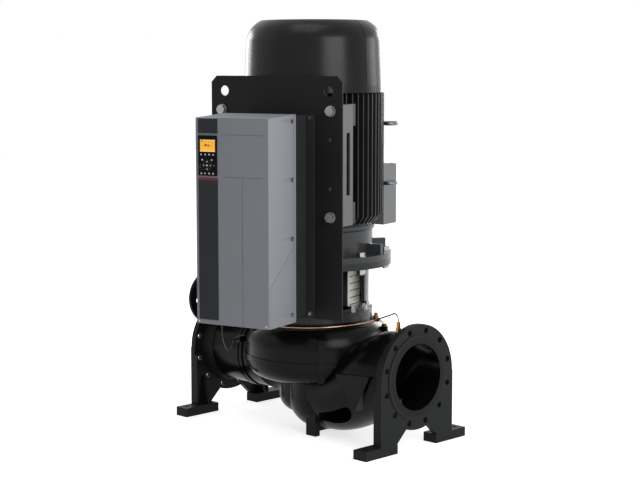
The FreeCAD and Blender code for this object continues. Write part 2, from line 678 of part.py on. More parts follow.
casing_inside = [
    above_face,
    cut(rounded_drum(inner_r, s.floor_high_z, s.scroll_high_z - s.casing_wall,
                     s.scroll_low_round - 15, s.scroll_high_round - 17, **scroll), [stud_ring]),
    cylinder(s.port_r, s.outlet_bore_long + 1, (-HALF_SPAN - 1, 0, s.pipe_height), ALONG_X),
    cylinder(s.throat_r, s.throat_long, (s.outlet_bore_long - HALF_SPAN - 20, 0, s.throat_z),
             ALONG_X),
    rounded_drum(s.bowl_r - s.bowl_wall, s.bowl_low_z + s.bowl_wall, s.bowl_roof_z,
                 s.bowl_round - s.bowl_wall, 0, x=s.bowl_x),
    rounded_drum(s.eye_chamber_r - s.bowl_wall, s.eye_chamber_low_z + s.bowl_wall, s.bowl_roof_z,
                 s.eye_chamber_round - s.bowl_wall, 0, **SHAFT),
    cylinder(s.port_r, s.passage_end_back + 2,
             (HALF_SPAN - s.passage_end_back - 1, 0, s.pipe_height), ALONG_X),
    duct([
        ellipse_at(between(s.passage_start_x, s.passage_end_back, 1), s.pipe_height, s.port_r,
                   s.port_r),
        ellipse_at(between(s.passage_start_x, s.passage_end_back, 0.8235), 262, 127.5, 128),
        ellipse_at(between(s.passage_start_x, s.passage_end_back, 0.5588), 196, 104, 138),
        ellipse_at(between(s.passage_start_x, s.passage_end_back, 0.3235), 126, 74, 144),
        ellipse_at(s.passage_start_x, 108, 78, 144),
    ]),
]
casing_holes = [
    drum(s.casing_opening_r, s.casing_face_z - 60, s.casing_face_z + 20, **SHAFT),
    drum(s.eye_r, s.bowl_roof_z - 20, s.floor_high_z + 10, **SHAFT),
    drum(5, s.vent_boss_high_z - 14, s.vent_boss_high_z + 1, s.vent_boss_x, s.vent_boss_y),
]
for x, y, top in fitting_seats:
    casing_holes.append(drum(s.fitting_thread_r + s.stud_fit, top - s.fitting_thread - 1, top + 1,
                             x, y))
casing_holes.append(cylinder(s.sensor_r - 5 + s.stud_fit, 60,
                             (SENSOR_X, s.sensor_in_y + 1, s.sensor_z), ALONG_MINUS_Y))
for index in range(STUDS):
    x, y = on_circle(s.stud_circle_r, index * 360 / STUDS, s.shaft_x, 0)
    casing_holes.append(drum(s.stud_r + s.stud_fit, s.stud_low_z - 1, s.casing_face_z + 5, x, y))
hollow = fuse(casing_outside)
for cavity in casing_inside:
    hollow = cut(hollow, [cavity])
casing = cut(hollow, casing_holes)
node("volute_casing", casing)

# Casing cover, seal, wear ring, studs
cover_top_z = s.casing_face_z + s.cover_flange_thick
cover_rim_r = s.casing_opening_r - s.cover_rim_fit
cover = turned([
    (s.shaft_hole_r, s.cover_hub_high_z),
    (s.cover_hub_r, s.cover_hub_high_z),
    (s.cover_hub_r, s.cover_disc_high_z),
    (cover_rim_r - s.cover_rim_wall, s.cover_disc_high_z),
    (cover_rim_r - s.cover_rim_wall, cover_top_z),
    (s.stool_base_r, cover_top_z),
    (s.stool_base_r, s.casing_face_z),
    (cover_rim_r, s.casing_face_z),
    (cover_rim_r, s.cover_disc_low_z),
    (s.seal_seat_r, s.cover_disc_low_z),
    (s.seal_seat_r, s.seal_seat_high_z),
    (s.shaft_hole_r, s.seal_seat_high_z),
], (s.shaft_x, 0, 0))
stud_places = [on_circle(s.stud_circle_r, index * 360 / STUDS, s.shaft_x, 0)
               for index in range(STUDS)]
clearance_r = s.stud_r + s.stud_clearance
node("casing_cover", cut(cover, [
    drum(clearance_r, s.casing_face_z - 5, cover_top_z + 5, x, y) for x, y in stud_places
]))
node("seal_seat", turned([
    (s.seal_seat_bore_r, s.seal_seat_low_z),
    (s.seal_seat_r, s.seal_seat_low_z),
    (s.seal_seat_r, s.seal_seat_high_z),
    (s.seal_seat_bore_r, s.seal_seat_high_z),
], (s.shaft_x, 0, 0)))
node("seal_ring", turned([
    (s.pump_shaft_r + s.seal_ring_fit, s.seal_ring_low_z),
    (s.seal_ring_r, s.seal_ring_low_z),
    (s.seal_ring_r, s.seal_seat_low_z - 0.05),
    (s.pump_shaft_r + s.seal_ring_fit, s.seal_seat_low_z - 0.05),
], (s.shaft_x, 0, 0)))
node("wear_ring", turned([
    (s.wear_ring_bore_r, s.wear_ring_low_z),
    (s.wear_ring_r, s.wear_ring_low_z),
    (s.wear_ring_r, s.wear_ring_high_z),
    (s.wear_ring_bore_r, s.wear_ring_high_z),
], (s.shaft_x, 0, 0)))
stool_face_z = s.stool_low_z + s.stool_base_thick
studs = []
for x, y in stud_places:
    studs.append(fuse([
        drum(s.stud_r, s.stud_low_z, s.stud_high_z, x, y),
        cylinder(s.washer_r, s.washer_thick, (x, y, stool_face_z)),
        prism(s.nut_across_corners_r, s.nut_height, (x, y, stool_face_z + s.washer_thick)),
    ]))
node("casing_studs", group(studs))

# Impeller
skirt_inner_r = s.impeller_skirt_r - s.impeller_skirt_wall
hub_high_z = s.seal_ring_low_z
back_shroud = turned([
    (s.pump_shaft_r + s.coupling_fit, s.impeller_hub_low_z),
    (s.impeller_hub_r, s.impeller_hub_low_z),
    (s.impeller_hub_r, s.impeller_back_low_z),
    (s.impeller_r, s.impeller_back_low_z),
    (s.impeller_r, s.impeller_back_high_z),
    (s.impeller_hub_r, s.impeller_back_high_z),
    (s.impeller_hub_r, hub_high_z),
    (s.pump_shaft_r + s.coupling_fit, hub_high_z),
])
front_shroud = turned([
    (skirt_inner_r, s.impeller_skirt_low_z),
    (s.impeller_skirt_r, s.impeller_skirt_low_z),
    (s.impeller_skirt_r, s.impeller_skirt_high_z),
    (s.impeller_r, s.impeller_front_z),
    (s.impeller_r, s.impeller_front_z + s.impeller_front_thick),
    (skirt_inner_r, s.impeller_skirt_high_z + s.impeller_front_thick),
])
vane_space = turned([
    (s.vane_inner_r, s.impeller_back_low_z + 1),
    (s.impeller_r - 1, s.impeller_back_low_z + 1),
    (s.impeller_r - 1, s.impeller_front_z + 3),
    (skirt_inner_r + 2, s.impeller_skirt_high_z + 3),
    (s.vane_inner_r, s.impeller_hub_low_z),
])
vanes = []
for index in range(VANES):
    angle = index * 360 / VANES
    x, y = on_circle(s.vane_centre_r, angle)
    shell = solid("Cylinder", (x, y, s.impeller_skirt_high_z), (UP, angle), Radius=s.vane_arc_r,
                  Height=100, Angle=180)
    core = cylinder(s.vane_arc_r - s.vane_thick, 120, (x, y, s.impeller_skirt_high_z - 5))
    vanes.append(cut(shell, [core]))
impeller = fuse([back_shroud, front_shroud, common([fuse(vanes), vane_space])])
node("impeller", place(impeller, (s.shaft_x, 0, 0)))
node("impeller_nut", place(cut(
    prism(s.nut_corner_r, s.impeller_hub_low_z - s.nut_low_z, (0, 0, s.nut_low_z)),
    [drum(s.pump_shaft_r + s.coupling_fit, s.nut_low_z - 1, s.impeller_hub_low_z + 1)],
), (s.shaft_x, 0, 0)))
node("pump_shaft", drum(s.pump_shaft_r, s.pump_shaft_low_z, PUMP_SHAFT_HIGH_Z, **SHAFT))

# Coupling and motor shaft
screw_heights = (s.coupling_screw_low_z, s.coupling_screw_high_z)
coupling_tools = [
    drum(s.pump_shaft_r + s.coupling_fit, s.coupling_low_z - 1, s.motor_shaft_low_z),
    drum(s.motor_shaft_end_r + s.coupling_fit, s.motor_shaft_low_z, s.coupling_high_z + 1),
    block(-100, 100, -s.coupling_gap / 2, s.coupling_gap / 2, s.coupling_low_z - 1,
          s.coupling_high_z + 1),
]
screws = []
for side in (1, -1):
    for z in screw_heights:
        x = side * s.coupling_screw_x
        coupling_tools.append(cylinder(s.coupling_screw_head_r + 0.5, 60,
                                       (x, -s.coupling_screw_seat_y, z), ALONG_MINUS_Y))
        coupling_tools.append(cylinder(s.coupling_screw_r + s.stud_fit,
                                       s.coupling_screw_seat_y + s.coupling_screw_tip_y,
                                       (x, s.coupling_screw_tip_y, z), ALONG_MINUS_Y))
        screws.append(fuse([
            cylinder(s.coupling_screw_r, s.coupling_screw_seat_y + s.coupling_screw_tip_y,
                     (x, s.coupling_screw_tip_y, z), ALONG_MINUS_Y),
            cylinder(s.coupling_screw_head_r, s.coupling_screw_head_long,
                     (x, -s.coupling_screw_seat_y, z), ALONG_MINUS_Y),
        ]))
halves = cut(drum(s.coupling_r, s.coupling_low_z, s.coupling_high_z), coupling_tools)
node("coupling", place(halves, (s.shaft_x, 0, 0)))
node("coupling_screws", place(group(screws), (s.shaft_x, 0, 0)))
core_foot_z = s.core_low_z - s.end_ring_height - 20
core_head_z = s.core_high_z + s.end_ring_height + 8
motor_shaft = turned([
    (1, s.motor_shaft_low_z),
    (s.motor_shaft_end_r, s.motor_shaft_low_z),
    (s.motor_shaft_end_r, s.motor_shaft_step_z),
    (s.bearing_seat_r, s.motor_shaft_step_z),
    (s.bearing_seat_r, s.bearing_high_z + 2),
    (s.core_seat_r - 4, s.bearing_high_z + 2),
    (s.core_seat_r - 4, core_foot_z),
    (s.core_seat_r, core_foot_z),
    (s.core_seat_r, core_head_z),
    (s.bearing_seat_r, core_head_z),
    (s.bearing_seat_r, s.upper_bearing_high_z + 6),
    (s.fan_seat_r, s.upper_bearing_high_z + 6),
    (s.fan_seat_r, s.motor_shaft_high_z),
    (1, s.motor_shaft_high_z),
])
shaft_middle = drum(2, s.motor_shaft_low_z, s.motor_shaft_high_z)
node("motor_shaft", place(fuse([motor_shaft, shaft_middle]), (s.shaft_x, 0, 0)))
rotor_blank = fuse([
    drum(s.rotor_core_r, s.core_low_z, s.core_high_z),
    drum(s.end_ring_r, s.core_low_z - s.end_ring_height, s.core_high_z + s.end_ring_height),
])
node("rotor_core", place(cut(rotor_blank, [
    drum(s.core_seat_r + s.coupling_fit, s.core_low_z - 50, s.core_high_z + 50),
]), (s.shaft_x, 0, 0)))
fan_pieces = [
    drum(s.fan_hub_r, s.fan_low_z, s.fan_high_z),
    drum(s.fan_r, s.fan_low_z, s.fan_low_z + s.fan_disc_thick),
]
for index in range(FAN_BLADES):
    fan_pieces.append(solid("Box", (0, 0, s.fan_low_z), (UP, index * 360 / FAN_BLADES),
                            Length=s.fan_r - 4, Width=s.fan_blade_thick,
                            Height=s.fan_high_z - s.fan_low_z))
node("cooling_fan", place(cut(fuse(fan_pieces), [
    drum(s.fan_seat_r + s.coupling_fit, s.fan_low_z - 5, s.fan_high_z + 5),
]), (s.shaft_x, 0, 0)))

# Motor stool and guards
stool = turned([
    (s.stool_base_bore_r, s.stool_low_z),
    (s.stool_base_r, s.stool_low_z),
    (s.stool_base_r, stool_face_z),
    (s.stool_wall_r, stool_face_z),
    (s.stool_wall_r, s.stool_top_low_z),
    (s.stool_top_r, s.stool_top_low_z),
    (s.stool_top_r, s.stool_top_z),
    (s.stool_wall_inner_r, s.stool_top_z),
    (s.stool_wall_inner_r, stool_face_z),
    (s.stool_base_bore_r, stool_face_z),
], (s.shaft_x, 0, 0))
flange_top_z = s.stool_top_z + s.shield_flange_thick


def front_flat():
    """Space in front of the two motor flanges, which are flat behind the mounting plate."""
    return turn_head(group([block(
        -s.stool_top_r, s.stool_top_r, s.front_flat_y - 50, s.front_flat_y,
        s.stool_top_low_z - 5, flange_top_z + s.shield_rib_height + 5)]))


stool_tools = [
    block(s.shaft_x - s.stool_top_r, s.shaft_x + s.stool_top_r, -s.window_half_width,
          s.window_half_width, s.window_low_z, s.window_high_z),
    block(s.shaft_x - s.window_half_width, s.shaft_x + s.window_half_width,
          -s.stool_top_r, s.stool_top_r, s.window_low_z, s.window_high_z),
    front_flat(),
]
for x, y in stud_places:
    stool_tools.append(drum(clearance_r, s.stool_low_z - 5, stool_face_z + 1, x, y))
    stool_tools.append(drum(s.nut_pocket_r, stool_face_z, stool_face_z + s.nut_pocket_height, x, y))
motor_bolt_places = []
for index in range(MOTOR_BOLTS):
    angle = index * 360 / MOTOR_BOLTS + s.motor_bolt_turn
    motor_bolt_places.append(on_circle(s.motor_bolt_circle_r, angle, s.shaft_x, 0))
motor_hole_r = s.motor_bolt_r + s.stud_clearance
for x, y in motor_bolt_places:
    stool_tools.append(drum(motor_hole_r, s.stool_top_low_z - 5, s.stool_top_z + 5, x, y))
node("motor_stool", cut(stool, stool_tools))
for name, side in (("coupling_guard_right", 1), ("coupling_guard_left", -1)):
    if side == 1:
        x0 = s.guard_x
        y0, y1 = s.guard_low_y, s.guard_high_y
        notch_low, notch_high = y0 - 5, y0 + s.guard_notch_width
    else:
        x0 = -s.guard_x - s.guard_thick
        y0, y1 = -s.guard_high_y, -s.guard_low_y
        notch_low, notch_high = y1 - s.guard_notch_width, y1 + 5
    slots = [block(x0 - 5, x0 + 5, notch_low, notch_high, stool_face_z - 5,
                   stool_face_z + s.guard_notch_height)]
    for index in range(5):
        z = stool_face_z + s.guard_slot_first + index * s.guard_slot_pitch
        slots.append(block(x0 - 5, x0 + 5, y0 + s.guard_slot_margin, y1 - s.guard_slot_margin,
                           z, z + s.guard_slot_height))
    sheet_piece = block(x0, x0 + s.guard_thick, y0, y1, stool_face_z, stool_face_z + s.guard_height)
    node(name, turn_head(cut(sheet_piece, slots)))

# Motor
seat_r = s.bearing_r + s.bearing_fit
lower_shield = turned([
    (s.shield_hole_r, s.stool_top_z),
    (s.stool_top_r, s.stool_top_z),
    (s.stool_top_r, flange_top_z),
    (s.shield_neck_r, flange_top_z),
    (s.shield_neck_r, s.shield_neck_high_z - s.shield_lip_height - 6),
    (s.shield_lip_r, s.shield_neck_high_z - s.shield_lip_height),
    (s.shield_lip_r, s.shield_neck_high_z),
    (s.shield_neck_r - s.shield_neck_wall, s.shield_neck_high_z),
    (s.shield_neck_r - s.shield_neck_wall, s.shield_web_high_z),
    (seat_r + s.boss_wall, s.shield_web_high_z),
    (seat_r + s.boss_wall, s.bearing_high_z),
    (seat_r, s.bearing_high_z),
    (seat_r, s.bearing_low_z),
    (s.shield_hole_r, s.bearing_low_z),
])
rib_pieces = [lower_shield]
for index in range(MOTOR_BOLTS):
    angle = (index + 0.5) * 360 / MOTOR_BOLTS + s.motor_bolt_turn
    rib_pieces.append(solid("Wedge", (0, 0, flange_top_z - 1), (UP, angle),
                            Xmin=s.shield_neck_r - 6, Xmax=s.shield_rib_r,
                            Ymin=-s.shield_rib_width / 2, Ymax=s.shield_rib_width / 2,
                            Zmin=0, Zmax=s.shield_rib_height, X2min=s.shield_neck_r - 6,
                            X2max=s.shield_rib_r, Z2min=0, Z2max=s.shield_rib_height))
lower_shield = place(fuse(rib_pieces), (s.shaft_x, 0, 0))
node("lower_end_shield", cut(lower_shield, [front_flat()] + [
    drum(motor_hole_r, s.stool_top_z - 5, flange_top_z + 5, x, y) for x, y in motor_bolt_places
]))
for name, low, high in (("lower_bearing", s.bearing_low_z, s.bearing_high_z),
                        ("upper_bearing", s.upper_bearing_low_z, s.upper_bearing_high_z)):
    node(name, turned([
        (s.bearing_seat_r + s.bearing_fit, low),
        (s.bearing_r, low),
        (s.bearing_r, high),
        (s.bearing_seat_r + s.bearing_fit, high),
    ], (s.shaft_x, 0, 0)))

frame_body = new_body()
tube_sketch = outline(frame_body, "XZ_Plane", [
    (s.frame_bore_r, s.shield_neck_high_z),
    (s.frame_r, s.shield_neck_high_z),
    (s.frame_r, s.frame_high_z),
    (s.frame_bore_r, s.frame_high_z),
])
frame_tube = frame_body.newObject("PartDesign::Revolution", "frame_tube")
frame_tube.Profile = tube_sketch
frame_tube.ReferenceAxis = (tube_sketch, ["V_Axis"])
frame_tube.Angle = 360
fin_low = s.shield_neck_high_z + s.fin_low_margin
fin_high = s.frame_high_z - s.fin_high_margin
fin_sketch = outline(frame_body, "XZ_Plane", [
    (s.frame_r - 3, fin_low),
    (s.frame_r + 20, fin_low),
    (s.fin_r, fin_low + s.fin_bevel),
    (s.fin_r, fin_high - s.fin_top_bevel),
    (s.fin_r - s.fin_top_bevel, fin_high),
    (s.frame_r - 3, fin_high),
])
fin = frame_body.newObject("PartDesign::Pad", "fin")
fin.Profile = fin_sketch
bind(fin, "Length", s.fin_width)
fin.Midplane = True
doc.recompute()
fins = frame_body.newObject("PartDesign::PolarPattern", "fins")
fins.Originals = [fin]
fins.Axis = (fin_sketch, ["V_Axis"])
fins.Angle = 360
fins.Occurrences = FINS
frame_body.Tip = fins
doc.recompute()
frame_pieces = [frame_body]
bracket_levels = ((s.bracket_low_z, s.bracket_low_z + s.pad_height),
                  (s.bracket_high_z - s.pad_height, s.bracket_high_z))
for side in (1, -1):
    for low, high in bracket_levels:
        x0, x1 = sorted((side * s.pad_inner_x, side * s.pad_outer_x), key=number_of)
        frame_pieces.append(block(x0, x1, s.pad_face_y, s.pad_inner_y, low, high))
frame_pieces.append(block(-s.box_pad_x, s.box_pad_x, s.box_pad_inner_y, s.box_pad_y,
                          s.box_pad_low_z + 10, s.box_pad_high_z))
eyebolts = []
eyebolt_holes = []
for angle in (s.eyebolt_angle, 180 - s.eyebolt_angle):
    for z in (s.eyebolt_low_z, s.eyebolt_high_z):
        x, y = on_circle(s.frame_bore_r + 5, angle)
        lean = FreeCAD.Rotation(UP, number_of(angle)) * FreeCAD.Rotation(*ALONG_X)
        boss = cylinder(s.eyebolt_boss_r, s.eyebolt_boss_out_r - s.frame_bore_r - 5, (x, y, z))
        boss.Placement.Rotation = lean
        frame_pieces.append(boss)
        x, y = on_circle(s.eyebolt_shank_in_r, angle)
        shank = cylinder(s.eyebolt_wire_r, s.eyebolt_centre_r - s.eyebolt_shank_in_r - 18, (x, y, z))
        shank.Placement.Rotation = lean
        hole = cylinder(s.eyebolt_wire_r + s.stud_fit, 60, (x, y, z))
        hole.Placement.Rotation = lean
        eyebolt_holes.append(hole)
        x, y = on_circle(s.eyebolt_boss_out_r, angle)
        shoulder = cylinder(s.eyebolt_wire_r + 9, 5, (x, y, z))
        shoulder.Placement.Rotation = lean
        x, y = on_circle(s.eyebolt_centre_r, angle)
        ring = solid("Torus", (x, y, z), None, Radius1=s.eyebolt_ring_r, Radius2=s.eyebolt_wire_r)
        eyebolts.append(fuse([shank, shoulder, ring]))
screw_points = []
for side in (1, -1):
    for z in (s.bracket_low_z + s.bracket_screw_inset, s.bracket_high_z - s.bracket_screw_inset):
        screw_points.append((side * s.bracket_screw_x, z))
frame_tools = [drum(s.frame_bore_r, s.shield_neck_high_z - 5, s.frame_high_z + 5)] + eyebolt_holes
for x, z in screw_points:
    frame_tools.append(cylinder(s.bracket_screw_r + s.stud_fit, 32, (x, s.pad_face_y - 1, z), ALONG_Y))
node("motor_frame", turn_head(cut(fuse(frame_pieces), frame_tools)))
node("eyebolts", turn_head(group(eyebolts)))

winding_low = s.core_low_z - s.winding_height
stator = cut(fuse([
    drum(s.frame_bore_r - s.stator_fit, s.core_low_z, s.core_high_z),
    drum(s.winding_outer_r, winding_low, s.core_high_z + s.winding_height),
]), [
    drum(s.stator_bore_r, winding_low - 5, s.core_high_z + 100),
    drum(s.winding_inner_r, winding_low - 5, s.core_low_z),
    drum(s.winding_inner_r, s.core_high_z, s.core_high_z + 100),
])
node("stator_core", place(stator, (s.shaft_x, 0, 0)))
upper_top_z = s.frame_high_z + s.upper_shield_thick
node("upper_end_shield", turned([
    (s.shield_hole_r, upper_top_z),
    (s.shield_hole_r, s.upper_bearing_high_z),
    (seat_r, s.upper_bearing_high_z),
    (seat_r, s.upper_boss_low_z),
    (seat_r + s.boss_wall, s.upper_boss_low_z),
    (seat_r + s.boss_wall, s.frame_high_z),
    (s.cover_low_r - s.cover_wall - s.bearing_fit, s.frame_high_z),
    (s.cover_low_r - s.cover_wall - s.bearing_fit, upper_top_z),
], (s.shaft_x, 0, 0)))


def cap(inset, low_z):
    """Solid of the fan cover's outside, or of its inside when set in by the wall."""
    side = turned([
        (1, low_z),
        (s.cover_low_r - inset, low_z),
        (s.cover_low_r - inset, s.cover_band_high_z),
        (s.cover_shoulder_r - inset, s.cover_shoulder_z + 1),
        (1, s.cover_shoulder_z + 1),
    ])
    round_edge = solid("Torus", (0, 0, s.crown_centre_z), None, Radius1=s.crown_centre_r,
                       Radius2=s.crown_round - inset)
    middle = drum(s.crown_centre_r, s.cover_shoulder_z - 20, s.cover_top_z + 2)
    crown = common([
        fuse([round_edge, middle]),
        drum(s.cover_shoulder_r - inset, s.cover_shoulder_z, s.cover_top_z - inset),
    ])
    return fuse([side, crown, drum(2, low_z, s.cover_top_z - inset)])


grille = [cap(s.cover_wall, s.cover_low_z - 5)]
for index in range(GRILLE_SLOTS):
    angle = index * 360 / GRILLE_SLOTS
    x, y = on_circle(s.grille_inner_r, angle)
    grille.append(solid("Box", (x, y, s.cover_top_z - 20), (UP, angle),
                        Length=s.grille_outer_r - s.grille_inner_r, Width=s.grille_slot_width,
                        Height=40))
seams = []
for angle in COVER_SEAMS:
    x, y = on_circle(s.seam_inner_r, angle)
    seams.append(solid("Box", (x, y, s.cover_band_high_z), (UP, angle), Length=100,
                       Width=s.seam_width, Height=s.cover_top_z - s.cover_band_high_z + 10))
seam_tool = cut(fuse(seams), [cap(s.seam_depth, s.cover_band_high_z - 5)])
node("fan_cover", turn_head(cut(cut(cap(0, s.cover_low_z), grille), [seam_tool])))

# Terminal box
wall = s.terminal_wall
node("terminal_box", turn_head(cut(
    block(-s.terminal_x, s.terminal_x, s.box_pad_y, s.terminal_out_y, s.terminal_low_z,
          s.terminal_split_z),
    [block(-s.terminal_x + wall, s.terminal_x - wall, s.box_pad_y + wall,
           s.terminal_out_y - wall, s.terminal_low_z + wall, s.terminal_split_z + 5)],
)))
node("terminal_box_lid", turn_head(cut(
    block(-s.terminal_x, s.terminal_x, s.box_pad_y, s.terminal_out_y, s.terminal_split_z,
          s.terminal_high_z),
    [block(-s.terminal_x + wall, s.terminal_x - wall, s.box_pad_y + wall,
           s.terminal_out_y - wall, s.terminal_split_z - 5, s.terminal_high_z - wall)],
)))

# Plate and brackets
plate_back_y = s.plate_front_y + s.plate_thick
plate = extruded("XZ_Plane", [
    (-s.plate_x, s.plate_low_z),
    (s.plate_x, s.plate_low_z),
    (s.plate_x, s.plate_high_z - s.plate_corner),
    (s.plate_x - s.plate_corner, s.plate_high_z),
    (-s.plate_x + s.plate_corner, s.plate_high_z),
    (-s.plate_x, s.plate_high_z - s.plate_corner),
], s.plate_thick, (0, plate_back_y, 0))
plate_tools = []
plate_bolts = []
for side in (1, -1):
    plate_tools.append(cylinder(s.lifting_hole_r, 20,
                                (side * s.lifting_hole_x, s.plate_front_y - 5, s.lifting_hole_z),
                                ALONG_Y))
    for z in (s.plate_spare_low_z, s.plate_spare_high_z):
        plate_tools.append(cylinder(s.plate_spare_hole_r, 20,
                                    (side * s.plate_spare_x, s.plate_front_y - 5, z), ALONG_Y))
    for z in (s.flange_screw_low_z, s.flange_screw_high_z):
        plate_tools.append(cylinder(s.flange_screw_r + s.stud_fit, 20,
                                    (side * s.flange_screw_x, s.plate_front_y - 5, z), ALONG_Y))
    for z in (s.plate_bolt_low_z, s.plate_bolt_high_z):
        plate_bolts.append((side * s.plate_bolt_x, z))
for x, z in plate_bolts:
    plate_tools.append(cylinder(s.plate_bolt_r + s.stud_clearance / 2, 20,
                                (x, s.plate_front_y - 5, z), ALONG_Y))
node("mounting_plate", turn_head(cut(plate, plate_tools)))

for name, side in (("side_bracket_right", 1), ("side_bracket_left", -1)):
    outer_x = side * s.plate_x
    inner_x = side * (s.plate_x - s.bracket_thick)
    profile = extruded("XY_Plane", [
        (side * s.bracket_front_x, plate_back_y),
        (outer_x, plate_back_y),
        (outer_x, s.bracket_rear_y + s.bracket_thick),
        (side * s.bracket_rear_x, s.bracket_rear_y + s.bracket_thick),
        (side * s.bracket_rear_x, s.bracket_rear_y),
        (inner_x, s.bracket_rear_y),
        (inner_x, plate_back_y + s.bracket_thick),
        (side * s.bracket_front_x, plate_back_y + s.bracket_thick),
    ], s.bracket_high_z - s.bracket_low_z, (0, 0, s.bracket_low_z))
    x0, x1 = sorted((side * (s.plate_x - 20), side * (s.plate_x + 20)), key=number_of)
    bracket_tools = [block(x0, x1, s.bracket_slot_front_y, s.bracket_slot_rear_y,
                           s.bracket_slot_low_z, s.bracket_slot_high_z)]
    for x, z in plate_bolts:
        if x.number * side > 0:
            bracket_tools.append(cylinder(s.plate_bolt_r + s.stud_clearance / 2, 20,
                                          (x, plate_back_y - 5, z), ALONG_Y))
    for x, z in screw_points:
        if x.number * side > 0:
            bracket_tools.append(cylinder(s.bracket_screw_r + s.stud_fit, 20,
                                          (x, s.bracket_rear_y - 5, z), ALONG_Y))
    node(name, turn_head(cut(profile, bracket_tools)))

# Hexagon bolts
head_bolts = []
for x, z in plate_bolts:
    under_head = s.plate_front_y - s.washer_thick
    nut_face = plate_back_y + s.bracket_thick
    head_bolts.append(fuse([
        cylinder(s.plate_washer_r, s.washer_thick, (x, under_head, z), ALONG_Y),
        prism(s.plate_bolt_corner_r, s.plate_bolt_head, (x, under_head, z), ALONG_MINUS_Y),
        cylinder(s.plate_bolt_r, nut_face - under_head + 20, (x, under_head, z), ALONG_Y),
        prism(s.plate_bolt_corner_r, 16, (x, nut_face, z), ALONG_Y),
    ]))
for x, z in screw_points:
    head_bolts.append(fuse([
        prism(s.bracket_screw_corner_r, s.bracket_screw_head, (x, s.bracket_rear_y, z),
              ALONG_MINUS_Y),
        cylinder(s.bracket_screw_r, 34, (x, s.bracket_rear_y, z), ALONG_Y),
    ]))
turned_bolts = turn_head(group(head_bolts))
world_bolts = []
for x, y in motor_bolt_places:
    world_bolts.append(fuse([
        drum(s.motor_washer_r, flange_top_z, flange_top_z + s.washer_thick, x, y),
        prism(s.motor_bolt_corner_r, s.motor_bolt_head, (x, y, flange_top_z + s.washer_thick)),
        drum(s.motor_bolt_r, s.stool_top_low_z - s.motor_nut_height - 5, flange_top_z + 5, x, y),
        prism(s.motor_bolt_corner_r, s.motor_nut_height,
              (x, y, s.stool_top_low_z - s.motor_nut_height)),
    ]))
for y, z in lug_holes:
    world_bolts.append(fuse([
        prism(9.2, 6.5, (lug_x + s.lug_thick, y, z), ALONG_X),
        cylinder(5, s.lug_thick + 16, (lug_x + s.lug_thick, y, z), ALONG_MINUS_X),
    ]))
node("hex_bolts", group([turned_bolts] + world_bolts))

# Speed drive
rim_x = s.drive_x - s.drive_wall - s.drive_rim_gap
drive_frame = fuse([
    block(-s.drive_back_x, s.drive_back_x, s.drive_split_y, s.drive_back_y, s.drive_back_low_z,
          s.drive_back_high_z),
    block(-s.drive_flange_x, s.drive_flange_x, s.drive_back_y, s.plate_front_y, s.drive_low_z,
          s.drive_flange_high_z),
    block(-rim_x, rim_x, s.drive_split_y - s.drive_rim_depth, s.drive_split_y,
          s.drive_low_z + s.drive_wall + s.drive_rim_gap, s.drive_rim_high_z),
])
inner_x = s.drive_back_x - s.drive_back_wall
frame_tools = [block(-inner_x, inner_x, s.drive_split_y - 40, s.drive_back_y - s.drive_back_wall,
                     s.drive_back_low_z + s.drive_back_wall,
                     s.drive_rim_high_z - s.drive_back_wall)]
gland_places = [(x, s.gland_y) for x in (s.gland_left_x, s.gland_middle_x, s.gland_right_x)]
for x, y in gland_places:
    frame_tools.append(drum(s.gland_thread_r + s.stud_fit, s.drive_back_low_z - 5,
                            s.drive_back_low_z + s.drive_back_wall + 5, x, y))
side_levels = (1216, 1005, 791, 513)
flange_points = [(side * s.flange_screw_x, z) for side in (1, -1)
                 for z in (s.flange_screw_low_z, s.flange_screw_high_z)]
for x, z in flange_points:
    frame_tools.append(cylinder(s.flange_screw_r + s.stud_fit, 12, (x, s.drive_back_y - 1, z),
                                ALONG_Y))
side_floor_x = s.drive_x - s.recess_depth
small_screws = []
for z in side_levels:
    for side, outward in ((1, ALONG_X), (-1, ALONG_MINUS_X)):
        tip_x = side * (side_floor_x - s.side_screw_long)
        frame_tools.append(cylinder(s.side_screw_r + s.stud_fit, s.side_screw_long + 5,
                                    (tip_x, s.side_screw_y, z), outward))
        small_screws.append(fuse([
            cylinder(s.side_screw_r, s.side_screw_long, (tip_x, s.side_screw_y, z), outward),
            prism(s.side_screw_head_r, s.side_screw_head,
                  (side * side_floor_x, s.side_screw_y, z), outward),
        ]))
for x, z in flange_points:
    small_screws.append(fuse([
        cylinder(s.flange_screw_r, 12, (x, s.drive_back_y, z), ALONG_Y),
        cylinder(s.flange_screw_head_r, s.flange_screw_head, (x, s.drive_back_y, z),
                 ALONG_MINUS_Y),
    ]))
for side in (1, -1):
    x = side * s.front_screw_x
    small_screws.append(fuse([
        cylinder(s.side_screw_r, s.front_screw_long, (x, s.drive_front_y, s.front_screw_z), ALONG_Y),
        cylinder(s.front_screw_head_r, s.front_screw_head, (x, s.drive_front_y, s.front_screw_z),
                 ALONG_MINUS_Y),
    ]))
node("drive_frame", turn_head(cut(drive_frame, frame_tools)))
node("panel_screws", turn_head(group(small_screws)))

